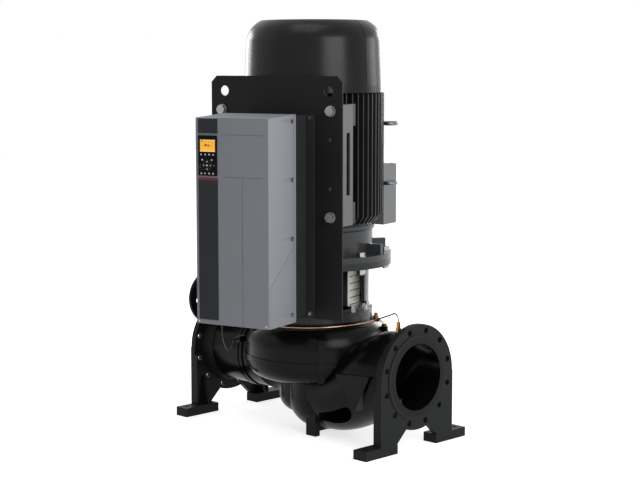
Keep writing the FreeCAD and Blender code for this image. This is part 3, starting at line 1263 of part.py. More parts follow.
shell_body = new_body()
shell_sketch = outline(shell_body, "YZ_Plane", [
    (s.drive_split_y, s.drive_low_z),
    (s.drive_front_y, s.drive_low_z),
    (s.drive_front_y, s.drive_high_front_z),
    (s.drive_split_y, s.drive_high_back_z),
])
shell = shell_body.newObject("PartDesign::Pad", "drive_shell")
shell.Profile = shell_sketch
bind(shell, "Length", s.drive_x * 2)
shell.Midplane = True
doc.recompute()
corner_edges = []
for index, edge in enumerate(shell.Shape.Edges):
    box = edge.BoundBox
    if box.YMax < number_of(s.drive_front_y) + 0.01 and box.ZLength > 100:
        corner_edges.append("Edge%d" % (index + 1))
rounding = shell_body.newObject("PartDesign::Fillet", "drive_corners")
rounding.Base = (shell, corner_edges)
bind(rounding, "Radius", s.drive_corner)
doc.recompute()
cover_tools = [
    block(-s.drive_x + s.drive_wall, s.drive_x - s.drive_wall, s.drive_front_y + s.drive_wall,
          s.drive_split_y + 10, s.drive_low_z + s.drive_wall, s.drive_rim_high_z + 0.1),
    block(s.panel_left_x - s.panel_opening_gap, s.panel_right_x + s.panel_opening_gap,
          s.drive_front_y - 5, s.drive_front_y + 10, s.panel_low_z - s.panel_opening_gap,
          s.panel_high_z + s.panel_opening_gap),
    block(s.seam_left_x, s.seam_right_x, s.drive_front_y - 5, s.drive_front_y + s.groove_depth,
          s.seam_high_z, s.seam_high_z + s.groove_width),
    block(s.seam_left_x, s.seam_right_x, s.drive_front_y - 5, s.drive_front_y + s.groove_depth,
          s.seam_low_z, s.seam_low_z + s.groove_width),
    block(s.seam_x, s.seam_x + s.groove_width, s.drive_front_y - 5,
          s.drive_front_y + s.groove_depth, s.drive_low_z - 5, s.seam_low_z),
]
groove_front_y = s.drive_front_y + s.side_groove_inset
groove_run_y = s.side_groove_rear_y - groove_front_y
groove_run_z = s.side_groove_high_z - s.side_groove_low_z
groove_long = root(groove_run_y * groove_run_y + groove_run_z * groove_run_z)
groove_lean = math.degrees(math.atan2(groove_run_z.number, groove_run_y.number))
flute_r = (s.recess_r * s.recess_r - s.recess_depth * s.recess_depth) / (s.recess_depth * 2)
for side in (1, -1):
    x0, x1 = sorted((side * (s.drive_x - s.groove_depth), side * (s.drive_x + 5)), key=number_of)
    slant = solid("Box", (x0, groove_front_y, s.side_groove_low_z),
                  (FreeCAD.Vector(1, 0, 0), groove_lean), Length=x1 - x0, Width=groove_long,
                  Height=s.groove_width)
    cover_tools.append(slant)
    cover_tools.append(block(x0, x1, groove_front_y, groove_front_y + s.groove_width,
                             s.drive_low_z - 5, s.side_groove_low_z + 1))
    x0, x1 = sorted((side * (s.drive_x - s.band_groove_depth), side * (s.drive_x + 5)),
                    key=number_of)
    cover_tools.append(block(x0, x1, s.band_groove_y, s.band_groove_y + s.band_groove_width,
                             s.drive_low_z - 5, s.drive_high_back_z + 5))
    cover_tools.append(cylinder(s.side_screw_r + s.stud_fit, s.front_screw_long + 1,
                                (side * s.front_screw_x, s.drive_front_y - 1, s.front_screw_z),
                                ALONG_Y))
    x0, x1 = sorted((side * side_floor_x, side * (s.drive_x + 5)), key=number_of)
    for z in side_levels:
        cover_tools.append(solid("Cone", (side * (s.drive_x + flute_r), s.recess_tip_y, z), ALONG_Y,
                                 Radius1=flute_r, Radius2=flute_r + s.recess_depth,
                                 Height=s.side_screw_y - s.recess_tip_y))
        cover_tools.append(cylinder(s.recess_r, x1 - x0, (x0, s.side_screw_y, z), ALONG_X))
        cover_tools.append(cylinder(s.side_screw_r + 0.2, 30, (x0 - 15, s.side_screw_y, z),
                                    ALONG_X))
cable_hole_x = (s.cable_end_x - s.shaft_x) * cosine(s.head_turn) + s.cable_end_y * sine(s.head_turn)
cable_hole_y = s.cable_end_y * cosine(s.head_turn) - (s.cable_end_x - s.shaft_x) * sine(s.head_turn)
cover_tools.append(drum(s.cable_r + 0.5, s.drive_low_z - 5, s.drive_low_z + 10, cable_hole_x,
                        cable_hole_y))
node("drive_cover", turn_head(cut(shell_body, cover_tools)))
strip_front_y = s.drive_front_y - s.strip_thick
node("front_strip", turn_head(cut(
    block(s.strip_left_x, s.strip_right_x, strip_front_y, s.drive_front_y, s.strip_low_z,
          s.strip_high_z),
    [block(s.strip_left_x - 5, s.strip_right_x + 5, strip_front_y - 5, s.drive_front_y + 5,
           s.panel_low_z - s.strip_gap_low, s.panel_high_z + s.strip_gap_high)],
)))

# Operating panel
plate_rear_y = s.panel_front_y + s.panel_plate
panel_rear_y = s.panel_front_y + s.panel_depth
panel_tools = [
    block(s.panel_left_x + s.panel_wall, s.panel_right_x - s.panel_wall, plate_rear_y,
          panel_rear_y - s.panel_back, s.panel_low_z + s.panel_wall, s.panel_high_z - s.panel_wall),
    block(s.display_left_x - s.display_fit, s.display_right_x + s.display_fit,
          s.panel_front_y - 5, plate_rear_y + 1, s.display_low_z - s.display_fit,
          s.display_high_z + s.display_fit),
]
key_hole_r = s.key_r + s.key_play
for x, z in KEYS.values():
    panel_tools.append(cylinder(key_hole_r, 10, (x, s.panel_front_y - 5, z), ALONG_Y))
node("control_panel", turn_head(cut(
    block(s.panel_left_x, s.panel_right_x, s.panel_front_y, panel_rear_y, s.panel_low_z,
          s.panel_high_z), panel_tools)))
node("display", turn_head(fuse([
    block(s.display_left_x, s.display_right_x, s.panel_front_y + s.display_sunk,
          plate_rear_y + s.display_back, s.display_low_z, s.display_high_z),
    block(s.display_left_x - s.display_lip, s.display_right_x + s.display_lip, plate_rear_y,
          plate_rear_y + s.display_back, s.display_low_z - s.display_lip,
          s.display_high_z + s.display_lip),
])))
collar_y = plate_rear_y + s.key_collar_gap
for name, (x, z) in KEYS.items():
    top_y = s.panel_front_y - s.key_proud
    node(name, turn_head(fuse([
        cylinder(s.key_r, collar_y - top_y, (x, top_y, z), ALONG_Y),
        cylinder(s.key_collar_r, s.key_collar, (x, collar_y, z), ALONG_Y),
        cylinder(s.key_post_r, s.key_collar + s.key_post, (x, collar_y, z), ALONG_Y),
    ])))

# Glands, flush line, fittings, sensor
glands = []
for x, y in gland_places:
    glands.append(fuse([
        prism(s.gland_corner_r, s.gland_hex_height, (x, y, s.drive_back_low_z - s.gland_hex_height)),
        drum(s.gland_r, s.drive_back_low_z - s.gland_height, s.drive_back_low_z, x, y),
        drum(s.gland_thread_r, s.drive_back_low_z - 5, s.drive_back_low_z + 9, x, y),
    ]))
glands.append(cut(
    drum(s.cable_gland_r, s.drive_low_z - s.cable_gland_height, s.drive_low_z, cable_hole_x,
         cable_hole_y),
    [drum(s.cable_r + 0.02, s.drive_low_z - 60, s.drive_low_z + 5, cable_hole_x, cable_hole_y)]))
node("cable_glands", turn_head(group(glands)))


def ring_point(angle, radius, height):
    x, y = on_circle(radius, angle, s.shaft_x, 0)
    return FreeCAD.Vector(x.number, y.number, number_of(height))


ring_r = s.line_ring_r.number
line_points = [ring_point(s.start_fitting_angle, s.line_ring_r, s.line_low_z - 12),
               ring_point(s.start_fitting_angle, s.line_ring_r, s.line_low_z + 14)]
for angle in range(-96, 10, 21):
    line_points.append(ring_point(angle, ring_r + 2, s.line_low_z.number + (angle + 96) * 0.05))
line_points += [
    FreeCAD.Vector(238, 84, 440),
    FreeCAD.Vector(LINE_END_X.number - 112, 62, 466),
    FreeCAD.Vector(LINE_END_X.number - 25, 8, s.line_top_z.number + 4),
    FreeCAD.Vector(LINE_END_X.number, 0, s.line_top_z.number - 6),
    FreeCAD.Vector(LINE_END_X.number, 0, s.fitting_high_z.number - 6),
]
node("flush_line", tube(line_points, s.line_r.number))
line_hole_r = s.line_r + 0.02


def fitting(x, y, low, hex_high, high, hole_from):
    """Screwed-in fitting standing on the casing, bored from above for the line."""
    pieces = fuse([
        drum(s.fitting_thread_r, low - s.fitting_thread, low + 1, x, y),
        prism(s.fitting_hex_r, hex_high - low, (x, y, low)),
        drum(s.fitting_r, low, high, x, y),
    ])
    return cut(pieces, [drum(line_hole_r, hole_from, high + 5, x, y)])


fittings = [
    fitting(LINE_END_X, 0, s.fitting_low_z, s.fitting_hex_high_z, s.fitting_high_z,
            s.fitting_high_z - 7),
    fitting(start_x, start_y, s.start_low_z, s.start_low_z + 8, s.line_low_z,
            s.line_low_z - 13),
    fitting(second_x, second_y, s.second_low_z, s.second_low_z + 8, s.second_high_z,
            s.second_high_z - 6),
    fuse([
        prism(s.vent_plug_corner_r, s.vent_plug_height, (s.vent_boss_x, s.vent_boss_y,
                                                        s.vent_boss_high_z)),
        drum(5 - s.stud_fit, s.vent_boss_high_z - 12, s.vent_boss_high_z + 4, s.vent_boss_x,
             s.vent_boss_y),
    ]),
]
node("pipe_fittings", group(fittings))
node("pressure_sensor", fuse([
    cylinder(s.sensor_r - 5, s.sensor_in_y - s.sensor_hex_y + 5,
             (SENSOR_X, s.sensor_in_y, s.sensor_z), ALONG_MINUS_Y),
    cylinder(s.sensor_r, s.sensor_hex_y - s.sensor_out_y,
             (SENSOR_X, s.sensor_hex_y, s.sensor_z), ALONG_MINUS_Y),
]))
CABLE_STEPS = 16
cable_start = FreeCAD.Vector(SENSOR_X.number, s.sensor_out_y.number - 1, s.sensor_z.number)
cable_stop = FreeCAD.Vector(s.cable_end_x.number, s.cable_end_y.number, s.cable_end_z.number)
sag_start = cable_start + FreeCAD.Vector(0, -22, -1)
sag_end = cable_stop - FreeCAD.Vector(0, 0, 57)
cable_points = [cable_start]
for index in range(CABLE_STEPS + 1):
    share = index / CABLE_STEPS
    point = sag_start + (sag_end - sag_start) * share
    point.z = sag_start.z - 88 * share + (88 + sag_end.z - sag_start.z) * share ** 2
    cable_points.append(point)
cable_points.append(cable_stop)
node("sensor_cable", tube(cable_points, s.cable_r.number))

# Recompute, check, export
doc.recompute()
faults = []
for item in doc.Objects:
    if "Invalid" in item.State or "Error" in item.State:
        faults.append("%s (%s): %s" % (item.Name, item.Label, item.State))
for name, item in nodes.items():
    if item.Shape.isNull() or not item.Shape.isValid():
        faults.append("shape of " + name)
for line in faults:
    print("FAULT", line)
for name, item in nodes.items():
    item.Shape.exportStep("parts/%s.step" % name)
    print("%-22s solids %2d volume %12.0f" % (name, len(item.Shape.Solids), item.Shape.Volume))
print("nodes", len(nodes), "faults", len(faults))
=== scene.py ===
"""Looks of a vertical inline centrifugal pump with its motor and speed drive.

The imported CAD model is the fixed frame. The classes below dress its nodes, one class for each
sub-assembly, and add the small pieces that are too fine for the solids.

Sizes are in millimetres unless a comment says otherwise. Places on the motor head, which is the
motor with its plate and drive, are in the head's own frame about the shaft: across the drive's
front, to its back, and up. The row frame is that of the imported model, in metres.
"""

import logging
import math
from dataclasses import dataclass, field
from enum import Enum
from typing import Sequence

import bmesh
import bpy
from mathutils import Matrix, Vector


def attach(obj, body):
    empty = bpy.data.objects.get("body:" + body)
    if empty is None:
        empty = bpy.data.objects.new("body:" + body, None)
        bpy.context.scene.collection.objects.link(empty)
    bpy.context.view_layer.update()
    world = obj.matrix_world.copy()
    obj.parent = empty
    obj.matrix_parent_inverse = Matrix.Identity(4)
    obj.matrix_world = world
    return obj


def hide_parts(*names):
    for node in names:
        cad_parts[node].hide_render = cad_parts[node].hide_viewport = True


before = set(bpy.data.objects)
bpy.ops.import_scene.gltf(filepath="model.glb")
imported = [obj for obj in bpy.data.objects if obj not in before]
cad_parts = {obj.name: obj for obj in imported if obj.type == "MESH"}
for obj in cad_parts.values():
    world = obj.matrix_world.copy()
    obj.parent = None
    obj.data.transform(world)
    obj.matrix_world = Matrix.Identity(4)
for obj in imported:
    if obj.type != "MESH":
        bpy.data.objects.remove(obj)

logging.basicConfig(level=logging.INFO, format="%(levelname)s %(message)s")
log = logging.getLogger("pump")

Outline = Sequence[tuple[float, float]]

MM = 0.001
SHAFT_X = -13.5
HEAD_TURN = math.radians(15.1)
BASE_BODY = "pump"
WHITE = "#FFFFFF"

# corners of a small round piece
ROUND_STEPS = 24
# a mark or a bar starts this far inside the face that it lies on
SINK = 0.02

# front of the key panel, and the middle of the round field behind its arrow keys
PANEL_Y = -594.0
FIELD_X = -101.0
FIELD_Z = 1059.5

# detail of the two noise patterns, and the part of the mottle's range that changes the gloss
MOTTLE_DETAIL = 4.0
GRAIN_DETAIL = 3.0
MOTTLE_LOW = 0.3
MOTTLE_HIGH = 0.7
BUMP_STRENGTH = 0.6

# scales of a brushed pattern: long upright streaks, and rings round an upright shaft
UPRIGHT = (1.0, 1.0, 0.04)
RINGS = (0.05, 0.05, 1.0)


def linear(colour: str) -> tuple[float, float, float, float]:
    """Turns an sRGB hex colour into Blender's linear values.

    Args:
        colour: Six hex digits with a leading #.

    Returns:
        Red, green, blue and an alpha of 1.
    """
    values = []
    for start in (1, 3, 5):
        level = int(colour[start:start + 2], 16) / 255
        values.append(level / 12.92 if level <= 0.04045 else ((level + 0.055) / 1.055) ** 2.4)
    return (values[0], values[1], values[2], 1.0)


def add_node(
    tree: bpy.types.NodeTree,
    kind: str,
    settings: dict[str, object] | None = None,
    inputs: dict[str | int, object] | None = None,
) -> bpy.types.Node:
    """Adds a node with its settings and links.

    Args:
        tree: The material's or world's node tree.
        kind: Blender's name of the node type.
        settings: Properties of the node.
        inputs: Value or linked output for each input socket, by name or number.

    Returns:
        The new node.
    """
    node = tree.nodes.new(kind)
    for name, value in (settings or {}).items():
        setattr(node, name, value)
    for name, value in (inputs or {}).items():
        socket = node.inputs[name]
        if isinstance(value, bpy.types.NodeSocket):
            tree.links.new(value, socket)
        else:
            socket.default_value = value
    return node


def head_point(x: float, y: float, z: float) -> Vector:
    """Turns a point of the motor head into the row frame.

    Args:
        x: Along the drive's front, to its right.
        y: To the back of the drive.
        z: Height above the floor.

    Returns:
        The point in metres.
    """
    turned = Matrix.Rotation(HEAD_TURN, 4, "Z") @ Vector((x, y, z))
    return Vector((turned.x * MM + SHAFT_X * MM, turned.y * MM, turned.z * MM))


def head_matrix(x: float, y: float, z: float, turn: Matrix | None = None) -> Matrix:
    """Places a piece on the motor head, turned with it.

    Args:
        x: Along the drive's front, to its right.
        y: To the back of the drive.
        z: Height above the floor.
        turn: A turn of its own before that, if any.

    Returns:
        The matrix into the row frame, in metres.
    """
    turned = Matrix.Translation(head_point(x, y, z)) @ Matrix.Rotation(HEAD_TURN, 4, "Z")
    return turned @ turn if turn else turned


@dataclass(frozen=True)
class Finish:
    """A painted, cast or moulded surface: two close tones, a fine grain and uneven gloss.

    The mottle is the slow change of tone over a piece, the grain is the bump that the process
    leaves. Both sizes are real ones.

    Attributes:
        name: The real material and how its surface was made.
        colour: The paler of the two tones.
        shade: The darker one.
        roughness: Middle of the roughness.
        spread: How far the roughness moves to each side with the mottle.
        metallic: 1 for bare metal.
        specular: Level of the mirrored light.
        mottle_mm: Size of the mottle.
        grain_mm: Size of the grain.
        height_mm: Height of the grain.
    """

    name: str
    colour: str
    shade: str
    roughness: float
    spread: float
    metallic: float
    specular: float
    mottle_mm: float
    grain_mm: float
    height_mm: float

    def build(self) -> bpy.types.Material:
        """Makes the material.

        Returns:
            The material with its nodes.
        """
        material = bpy.data.materials.new(self.name)
        material.use_nodes = True
        tree = material.node_tree
        shader = tree.nodes["Principled BSDF"]
        shader.inputs["Metallic"].default_value = self.metallic
        shader.inputs["Specular IOR Level"].default_value = self.specular
        place = add_node(tree, "ShaderNodeTexCoord").outputs["Object"]
        self.paint(tree, shader, place)
        return material

    def paint(
        self,
        tree: bpy.types.NodeTree,
        shader: bpy.types.Node,
        place: bpy.types.NodeSocket,
    ) -> None:
        """Gives the shader its colour, gloss and bump.

        Args:
            tree: The material's nodes.
            shader: The shader to feed.
            place: Object coordinates, in metres.
        """
        mottle = add_node(
            tree,
            "ShaderNodeTexNoise",
            inputs={"Vector": place, "Scale": 1000 / self.mottle_mm, "Detail": MOTTLE_DETAIL},
        )
        tone = add_node(
            tree,
            "ShaderNodeMix",
            {"data_type": "RGBA"},
            {
                "Factor": mottle.outputs["Fac"],
                "A": linear(self.shade),
                "B": linear(self.colour),
            },
        )
        tree.links.new(tone.outputs["Result"], shader.inputs["Base Color"])
        gloss = add_node(
            tree,
            "ShaderNodeMapRange",
            inputs={
                "Value": mottle.outputs["Fac"],
                "From Min": MOTTLE_LOW,
                "From Max": MOTTLE_HIGH,
                "To Min": self.roughness - self.spread,
                "To Max": self.roughness + self.spread,
            },
        )
        tree.links.new(gloss.outputs["Result"], shader.inputs["Roughness"])
        grain = add_node(
            tree,
            "ShaderNodeTexNoise",
            inputs={"Vector": place, "Scale": 1000 / self.grain_mm, "Detail": GRAIN_DETAIL},
        )
        bump = add_node(
            tree,
            "ShaderNodeBump",
            inputs={
                "Strength": BUMP_STRENGTH,
                "Distance": self.height_mm * MM,
                "Height": grain.outputs["Fac"],
            },
        )
        tree.links.new(bump.outputs["Normal"], shader.inputs["Normal"])


@dataclass(frozen=True)
class BrushedFinish(Finish):
    """A metal with fine parallel marks, stretched along one axis by the brush or the tool."""

    stretch: tuple[float, float, float] = UPRIGHT

    def paint(
        self,
        tree: bpy.types.NodeTree,
        shader: bpy.types.Node,
        place: bpy.types.NodeSocket,
    ) -> None:
        """Gives the shader long streaks in place of an even grain.

        Args:
            tree: The material's nodes.
            shader: The shader to feed.
            place: Object coordinates, in metres.
        """
        drawn = add_node(
            tree, "ShaderNodeMapping", inputs={"Vector": place, "Scale": self.stretch}
        )
        super().paint(tree, shader, drawn.outputs["Vector"])


@dataclass(frozen=True)
class PanelFinish(Finish):
    """The key panel, with a greyer round field behind the arrow keys."""

    field_r: float = 20.0
    field_blur: float = 0.5
    field_colour: str = "#232426"

    def paint(
        self,
        tree: bpy.types.NodeTree,
        shader: bpy.types.Node,
        place: bpy.types.NodeSocket,
    ) -> None:
        """Mixes the field's grey in by the distance from its middle.

        Args:
            tree: The material's nodes.
            shader: The shader to feed.
            place: Object coordinates, in metres.
        """
        super().paint(tree, shader, place)
        tone = shader.inputs["Base Color"].links[0].from_socket
        distance = add_node(
            tree,
            "ShaderNodeVectorMath",
            {"operation": "DISTANCE"},
            {0: place, 1: head_point(FIELD_X, PANEL_Y, FIELD_Z)},
        )
        share = add_node(
            tree,
            "ShaderNodeMapRange",
            inputs={
                "Value": distance.outputs["Value"],
                "From Min": (self.field_r + self.field_blur) * MM,
                "From Max": (self.field_r - self.field_blur) * MM,
            },
        )
        mixed = add_node(
            tree,
            "ShaderNodeMix",
            {"data_type": "RGBA"},
            {"Factor": share.outputs["Result"], "A": tone, "B": linear(self.field_colour)},
        )
        tree.links.new(mixed.outputs["Result"], shader.inputs["Base Color"])


@dataclass(frozen=True)
class DisplayFinish(Finish):
    """A window lit from behind, paler towards its lower and upper edges.

    Attributes:
        low_z: Height of the window's lower edge.
        high_z: Height of its upper edge.
        glow: Strength of the light behind it.
        grades: Share of the height and the colour there.
    """

    low_z: float = 1108.0
    high_z: float = 1151.0
    glow: float = 0.42
    grades: tuple[tuple[float, str], ...] = (
        (0.0, "#FFE08A"),
        (0.12, "#F8B944"),
        (0.55, "#F6AE34"),
        (0.85, "#F4B548"),
        (1.0, "#F8D27A"),
    )

    def paint(
        self,
        tree: bpy.types.NodeTree,
        shader: bpy.types.Node,
        place: bpy.types.NodeSocket,
    ) -> None:
        """Grades the amber by height and lights the window from behind.

        Args:
            tree: The material's nodes.
            shader: The shader to feed.
            place: Object coordinates, in metres.
        """
        super().paint(tree, shader, place)
        split = add_node(tree, "ShaderNodeSeparateXYZ", inputs={"Vector": place})
        level = add_node(
            tree,
            "ShaderNodeMapRange",
            inputs={
                "Value": split.outputs["Z"],
                "From Min": self.low_z * MM,
                "From Max": self.high_z * MM,
            },
        )
        grade = add_node(tree, "ShaderNodeValToRGB", {}, {"Fac": level.outputs["Result"]})
        ramp = grade.color_ramp
        while len(ramp.elements) < len(self.grades):
            ramp.elements.new(0.5)
        for element, (position, colour) in zip(ramp.elements, self.grades):
            element.position = position
            element.color = linear(colour)
        tree.links.new(grade.outputs["Color"], shader.inputs["Base Color"])
        tree.links.new(grade.outputs["Color"], shader.inputs["Emission Color"])
        shader.inputs["Emission Strength"].default_value = self.glow


class Finishes(Enum):
    """Every finish on the pump."""

    # grey iron, sand cast, dark satin enamel: soft wide highlights over a slightly pebbled skin
    CAST_IRON = Finish(
        "enamelled_cast_iron", "#0D0E0F", "#090A0A", 0.24, 0.04, 0.0, 0.10, 90, 2.2, 0.10
    )
    # machined flange faces under thin paint: flatter and a little lighter than the casting
    FLANGE_IRON = Finish(
        "enamelled_flange_iron", "#222324", "#1C1D1E", 0.42, 0.06, 0.0, 0.08, 70, 1.8, 0.06
    )
    # motor castings in satin grey-black enamel: fins catch a soft edge light
    MOTOR_IRON = Finish(
        "enamelled_motor_iron", "#2C2D2F", "#232426", 0.36, 0.06, 0.0, 0.20, 80, 1.5, 0.06
    )
    # stool of the motor, brushed over with the same enamel; its paler tone is painted sheen
    # standing in for reflections
    NECK_IRON_PAINTED_SHEEN = Finish(
        "enamelled_iron_painted_sheen", "#2F3032", "#27282A", 0.28, 0.06, 0.0, 0.18, 110, 1.6, 0.05
    )
    # lower end shield, turned before it was enamelled: smoother, and its still paler tone is
    # painted sheen standing in for reflections
    SHIELD_IRON_PAINTED_SHEEN = Finish(
        "turned_iron_painted_sheen", "#3E3F41", "#353638", 0.24, 0.05, 0.0, 0.24, 120, 1.2, 0.03
    )
    # pressed sheet fan cover, sprayed: smooth, with long soft reflections
    FAN_COVER = Finish(
        "sprayed_sheet_steel", "#141516", "#0F1011", 0.27, 0.03, 0.0, 0.17, 120, 0.9, 0.015
    )
    # terminal box in pale grey paint: a middle grey, nearly matt
    BOX_PAINT = Finish(
        "painted_terminal_box", "#707274", "#686A6C", 0.48, 0.05, 0.0, 0.3, 70, 1.2, 0.03
    )
    # powder coated plate: deep black, fine orange peel, little shine
    PLATE = Finish(
        "powder_coated_plate", "#1B1B1C", "#161617", 0.5, 0.05, 0.0, 0.12, 140, 1.2, 0.03
    )
    # galvanised channel, grey coated: a middle grey without sparkle
    BRACKET = Finish(
        "coated_channel_steel", "#5F6162", "#585A5B", 0.50, 0.06, 0.0, 0.25, 60, 1.4, 0.03
    )
    # ABS moulding in light grey with a spark-eroded texture: even and nearly matt
    DRIVE_COVER = Finish(
        "moulded_grey_abs", "#8A8B90", "#84858A", 0.52, 0.04, 0.0, 0.3, 160, 0.8, 0.02
    )
    # glass filled nylon, black: dull and slightly streaked
    DRIVE_BODY = Finish(
        "moulded_black_nylon", "#2A2B2C", "#232425", 0.55, 0.05, 0.0, 0.15, 90, 1.0, 0.03
    )
    # dark strip let into the cover: satin, smoother than the grey
    STRIP = Finish(
        "moulded_dark_strip", "#2F3134", "#2A2C2F", 0.45, 0.04, 0.0, 0.12, 120, 0.7, 0.012
    )
    # key panel: near black satin moulding, greyer in the round field of the arrow keys
    PANEL = PanelFinish(
        "moulded_panel", "#0C0C0E", "#09090A", 0.42, 0.03, 0.0, 0.05, 60, 0.6, 0.01
    )
    # silicone keys: soft dark grey tops
    KEY = Finish(
        "silicone_key", "#2A2B2E", "#232426", 0.6, 0.04, 0.0, 0.15, 12, 0.5, 0.01
    )
    # zinc plated fasteners: pale grey metal with a faint mottle
    ZINC = Finish(
        "zinc_plated_steel", "#A3A4A3", "#878887", 0.36, 0.08, 1.0, 0.5, 6, 0.8, 0.01
    )
    # forged lifting eyes, zinc plated and weathered duller than the bolts
    DULL_ZINC = Finish(
        "dull_zinc_forging", "#77797A", "#606263", 0.42, 0.08, 1.0, 0.5, 9, 1.0, 0.02
    )
    # small screws of the drive, nickel plated: brighter and smoother than the zinc
    SMALL_SCREW = Finish(
        "nickel_plated_screw", "#B4B5B6", "#97989A", 0.28, 0.06, 1.0, 0.5, 5, 0.6, 0.006
    )
    # brushed stainless sheet: streaks run up the guard
    STAINLESS = BrushedFinish(
        "brushed_stainless_sheet", "#B5B4AE", "#A5A49F", 0.5, 0.05, 0.6, 0.5, 9, 1.0, 0.006
    )
    # ground shaft steel: fine rings round the shaft
    SHAFT = BrushedFinish(
        "ground_shaft_steel", "#B2B4B5", "#9FA1A2", 0.24, 0.05, 1.0, 0.5, 10, 0.8, 0.004, RINGS
    )
    # bearing steel, polished: the brightest metal of all
    BEARING = BrushedFinish(
        "polished_bearing_steel", "#C4C5C6", "#B2B3B4", 0.14, 0.03, 1.0, 0.5, 10, 0.8, 0.003, RINGS
    )
    # copper tube, drawn and annealed: warm pink metal
    COPPER = Finish(
        "drawn_copper", "#C09A8C", "#A97F6E", 0.30, 0.06, 1.0, 0.5, 14, 0.7, 0.006
    )
    # turned brass fittings: warm yellow metal
    BRASS = Finish(
        "turned_brass", "#B8905A", "#94703F", 0.30, 0.06, 1.0, 0.5, 8, 0.6, 0.006
    )
    # cast bronze impeller and wear ring: brown metal with a pebbled skin
    BRONZE = Finish(
        "cast_bronze", "#9A7442", "#7E5E36", 0.42, 0.08, 1.0, 0.5, 22, 1.4, 0.03
    )
    # silicon steel sheets under varnish: brown, with their edges as fine rings
    LAMINATION = BrushedFinish(
        "varnished_laminations", "#5B4A40", "#4B3E36", 0.45, 0.06, 0.6, 0.5, 20, 1.0, 0.01, RINGS
    )
    # carbon graphite seal face, lapped: dark and smooth
    CARBON = Finish(
        "carbon_graphite", "#262628", "#1C1C1E", 0.3, 0.05, 0.0, 0.5, 10, 0.5, 0.004
    )
    # alumina seal seat, lapped: off-white and glossy
    CERAMIC = Finish(
        "alumina_ceramic", "#D8D4CA", "#CBC7BD", 0.22, 0.03, 0.0, 0.5, 14, 0.5, 0.003
    )
    # cast coupling halves in dark primer: dull
    COUPLING = Finish(
        "primed_coupling_iron", "#2C2E31", "#232528", 0.5, 0.06, 0.0, 0.3, 30, 1.5, 0.05
    )
    # black nylon glands, fan and sensor, moulded: satin
    NYLON = Finish(
        "black_nylon", "#121213", "#0D0D0E", 0.45, 0.05, 0.0, 0.2, 20, 0.7, 0.01
    )
    # PVC sheath of the sensor cable, extruded: dull black
    SHEATH = Finish(
        "pvc_sheath", "#1A1A1B", "#131314", 0.5, 0.05, 0.0, 0.3, 20, 0.6, 0.008
    )
    # crimson trim bar at the head of the lower strip, moulded: satin
    RED_TRIM = Finish(
        "moulded_crimson_trim", "#8C1526", "#7A1020", 0.38, 0.03, 0.0, 0.3, 20, 0.5, 0.005
    )
    # rubber gasket between the terminal box and its lid: dead matt
    GASKET = Finish(
        "rubber_gasket", "#1B1B1C", "#141415", 0.7, 0.04, 0.0, 0.2, 16, 0.6, 0.01
    )
    # pale print on the key tops: flat ink
    PRINT = Finish(
        "printed_key_mark", "#E6E8E6", "#D6D8D6", 0.55, 0.03, 0.0, 0.3, 3, 0.3, 0.002
    )
    # print of the marks on the panel itself: the same ink, fainter
    FAINT_PRINT = Finish(
        "printed_panel_mark", "#7B7D80", "#6C6E71", 0.55, 0.03, 0.0, 0.2, 3, 0.3, 0.002
    )
    # dark cells of the window, which spell no reading
    WINDOW_MARK = Finish(
        "dark_window_cell", "#5E3C08", "#4F3206", 0.35, 0.03, 0.0, 0.2, 3, 0.3, 0.001
    )
    # amber window, lit from behind: glossy and paler at its edges
    DISPLAY = DisplayFinish(
        "lit_amber_window", "#F7B440", "#EDA632", 0.18, 0.02, 0.0, 0.2, 10, 0.4, 0.002
    )


class Workshop:
    """Builds each finish once and puts it on nodes and pieces."""

    def __init__(self) -> None:
        """Starts with no materials made."""
        self.made: dict[Finishes, bpy.types.Material] = {}

    def material(self, finish: Finishes) -> bpy.types.Material:
        """Returns the material of a finish, made at its first use.

        Args:
            finish: The finish wanted.

        Returns:
            Its material.
        """
        if finish not in self.made:
            self.made[finish] = finish.value.build()
        return self.made[finish]

    def dress(self, finishes: dict[str, Finishes]) -> None:
        """Gives CAD nodes their finishes.

        Args:
            finishes: The finish for all of a node, by the node's name.
        """
        for node, finish in finishes.items():
            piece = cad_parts[node]
            material = self.material(finish)
            if not piece.material_slots:
                piece.data.materials.append(material)
            for slot in piece.material_slots:
                slot.material = material
            log.info("node %s: %s", node, finish.value.name)

    def add(
        self,
        name: str,
        mesh: bmesh.types.BMesh,
        finish: Finishes,
        slot: str,
        body: str = BASE_BODY,
    ) -> None:
        """Turns a mesh into a piece that rides on a body.

        Args:
            name: Name of the piece.
            mesh: Its shape in the row frame.
            finish: Its finish.
            slot: Not used.
            body: The body it rides on.
        """
        data = bpy.data.meshes.new(name)
        bmesh.ops.recalc_face_normals(mesh, faces=mesh.faces)
        mesh.to_mesh(data)
        mesh.free()
        for face in data.polygons:
            face.use_smooth = True
        data.materials.append(self.material(finish))
        piece = bpy.data.objects.new(name, data)
        bpy.context.scene.collection.objects.link(piece)
        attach(piece, body)
        log.info("piece %s: %s on %s", name, finish.value.name, body)


def oval_outline(radius_x: float, radius_z: float, count: int) -> list[tuple[float, float]]:
    """Gives the corners of an oval outline.

    Args:
        radius_x: Half its width.
        radius_z: Half its height.
        count: Number of corners.

    Returns:
        The corners, across and up.
    """
    corners = []
    for index in range(count):
        angle = 2 * math.pi * index / count
        corners.append((radius_x * math.cos(angle), radius_z * math.sin(angle)))
    return corners


def bridge(
    mesh: bmesh.types.BMesh,
    low: Sequence[bmesh.types.BMVert],
    high: Sequence[bmesh.types.BMVert],
) -> None:
    """Joins two closed rings of corners by a band of faces.

    Args:
        mesh: The mesh that both rings are in.
        low: The first ring.
        high: The second ring, with as many corners.
    """
    for index in range(len(low)):
        after = (index + 1) % len(low)
        mesh.faces.new((low[index], low[after], high[after], high[index]))


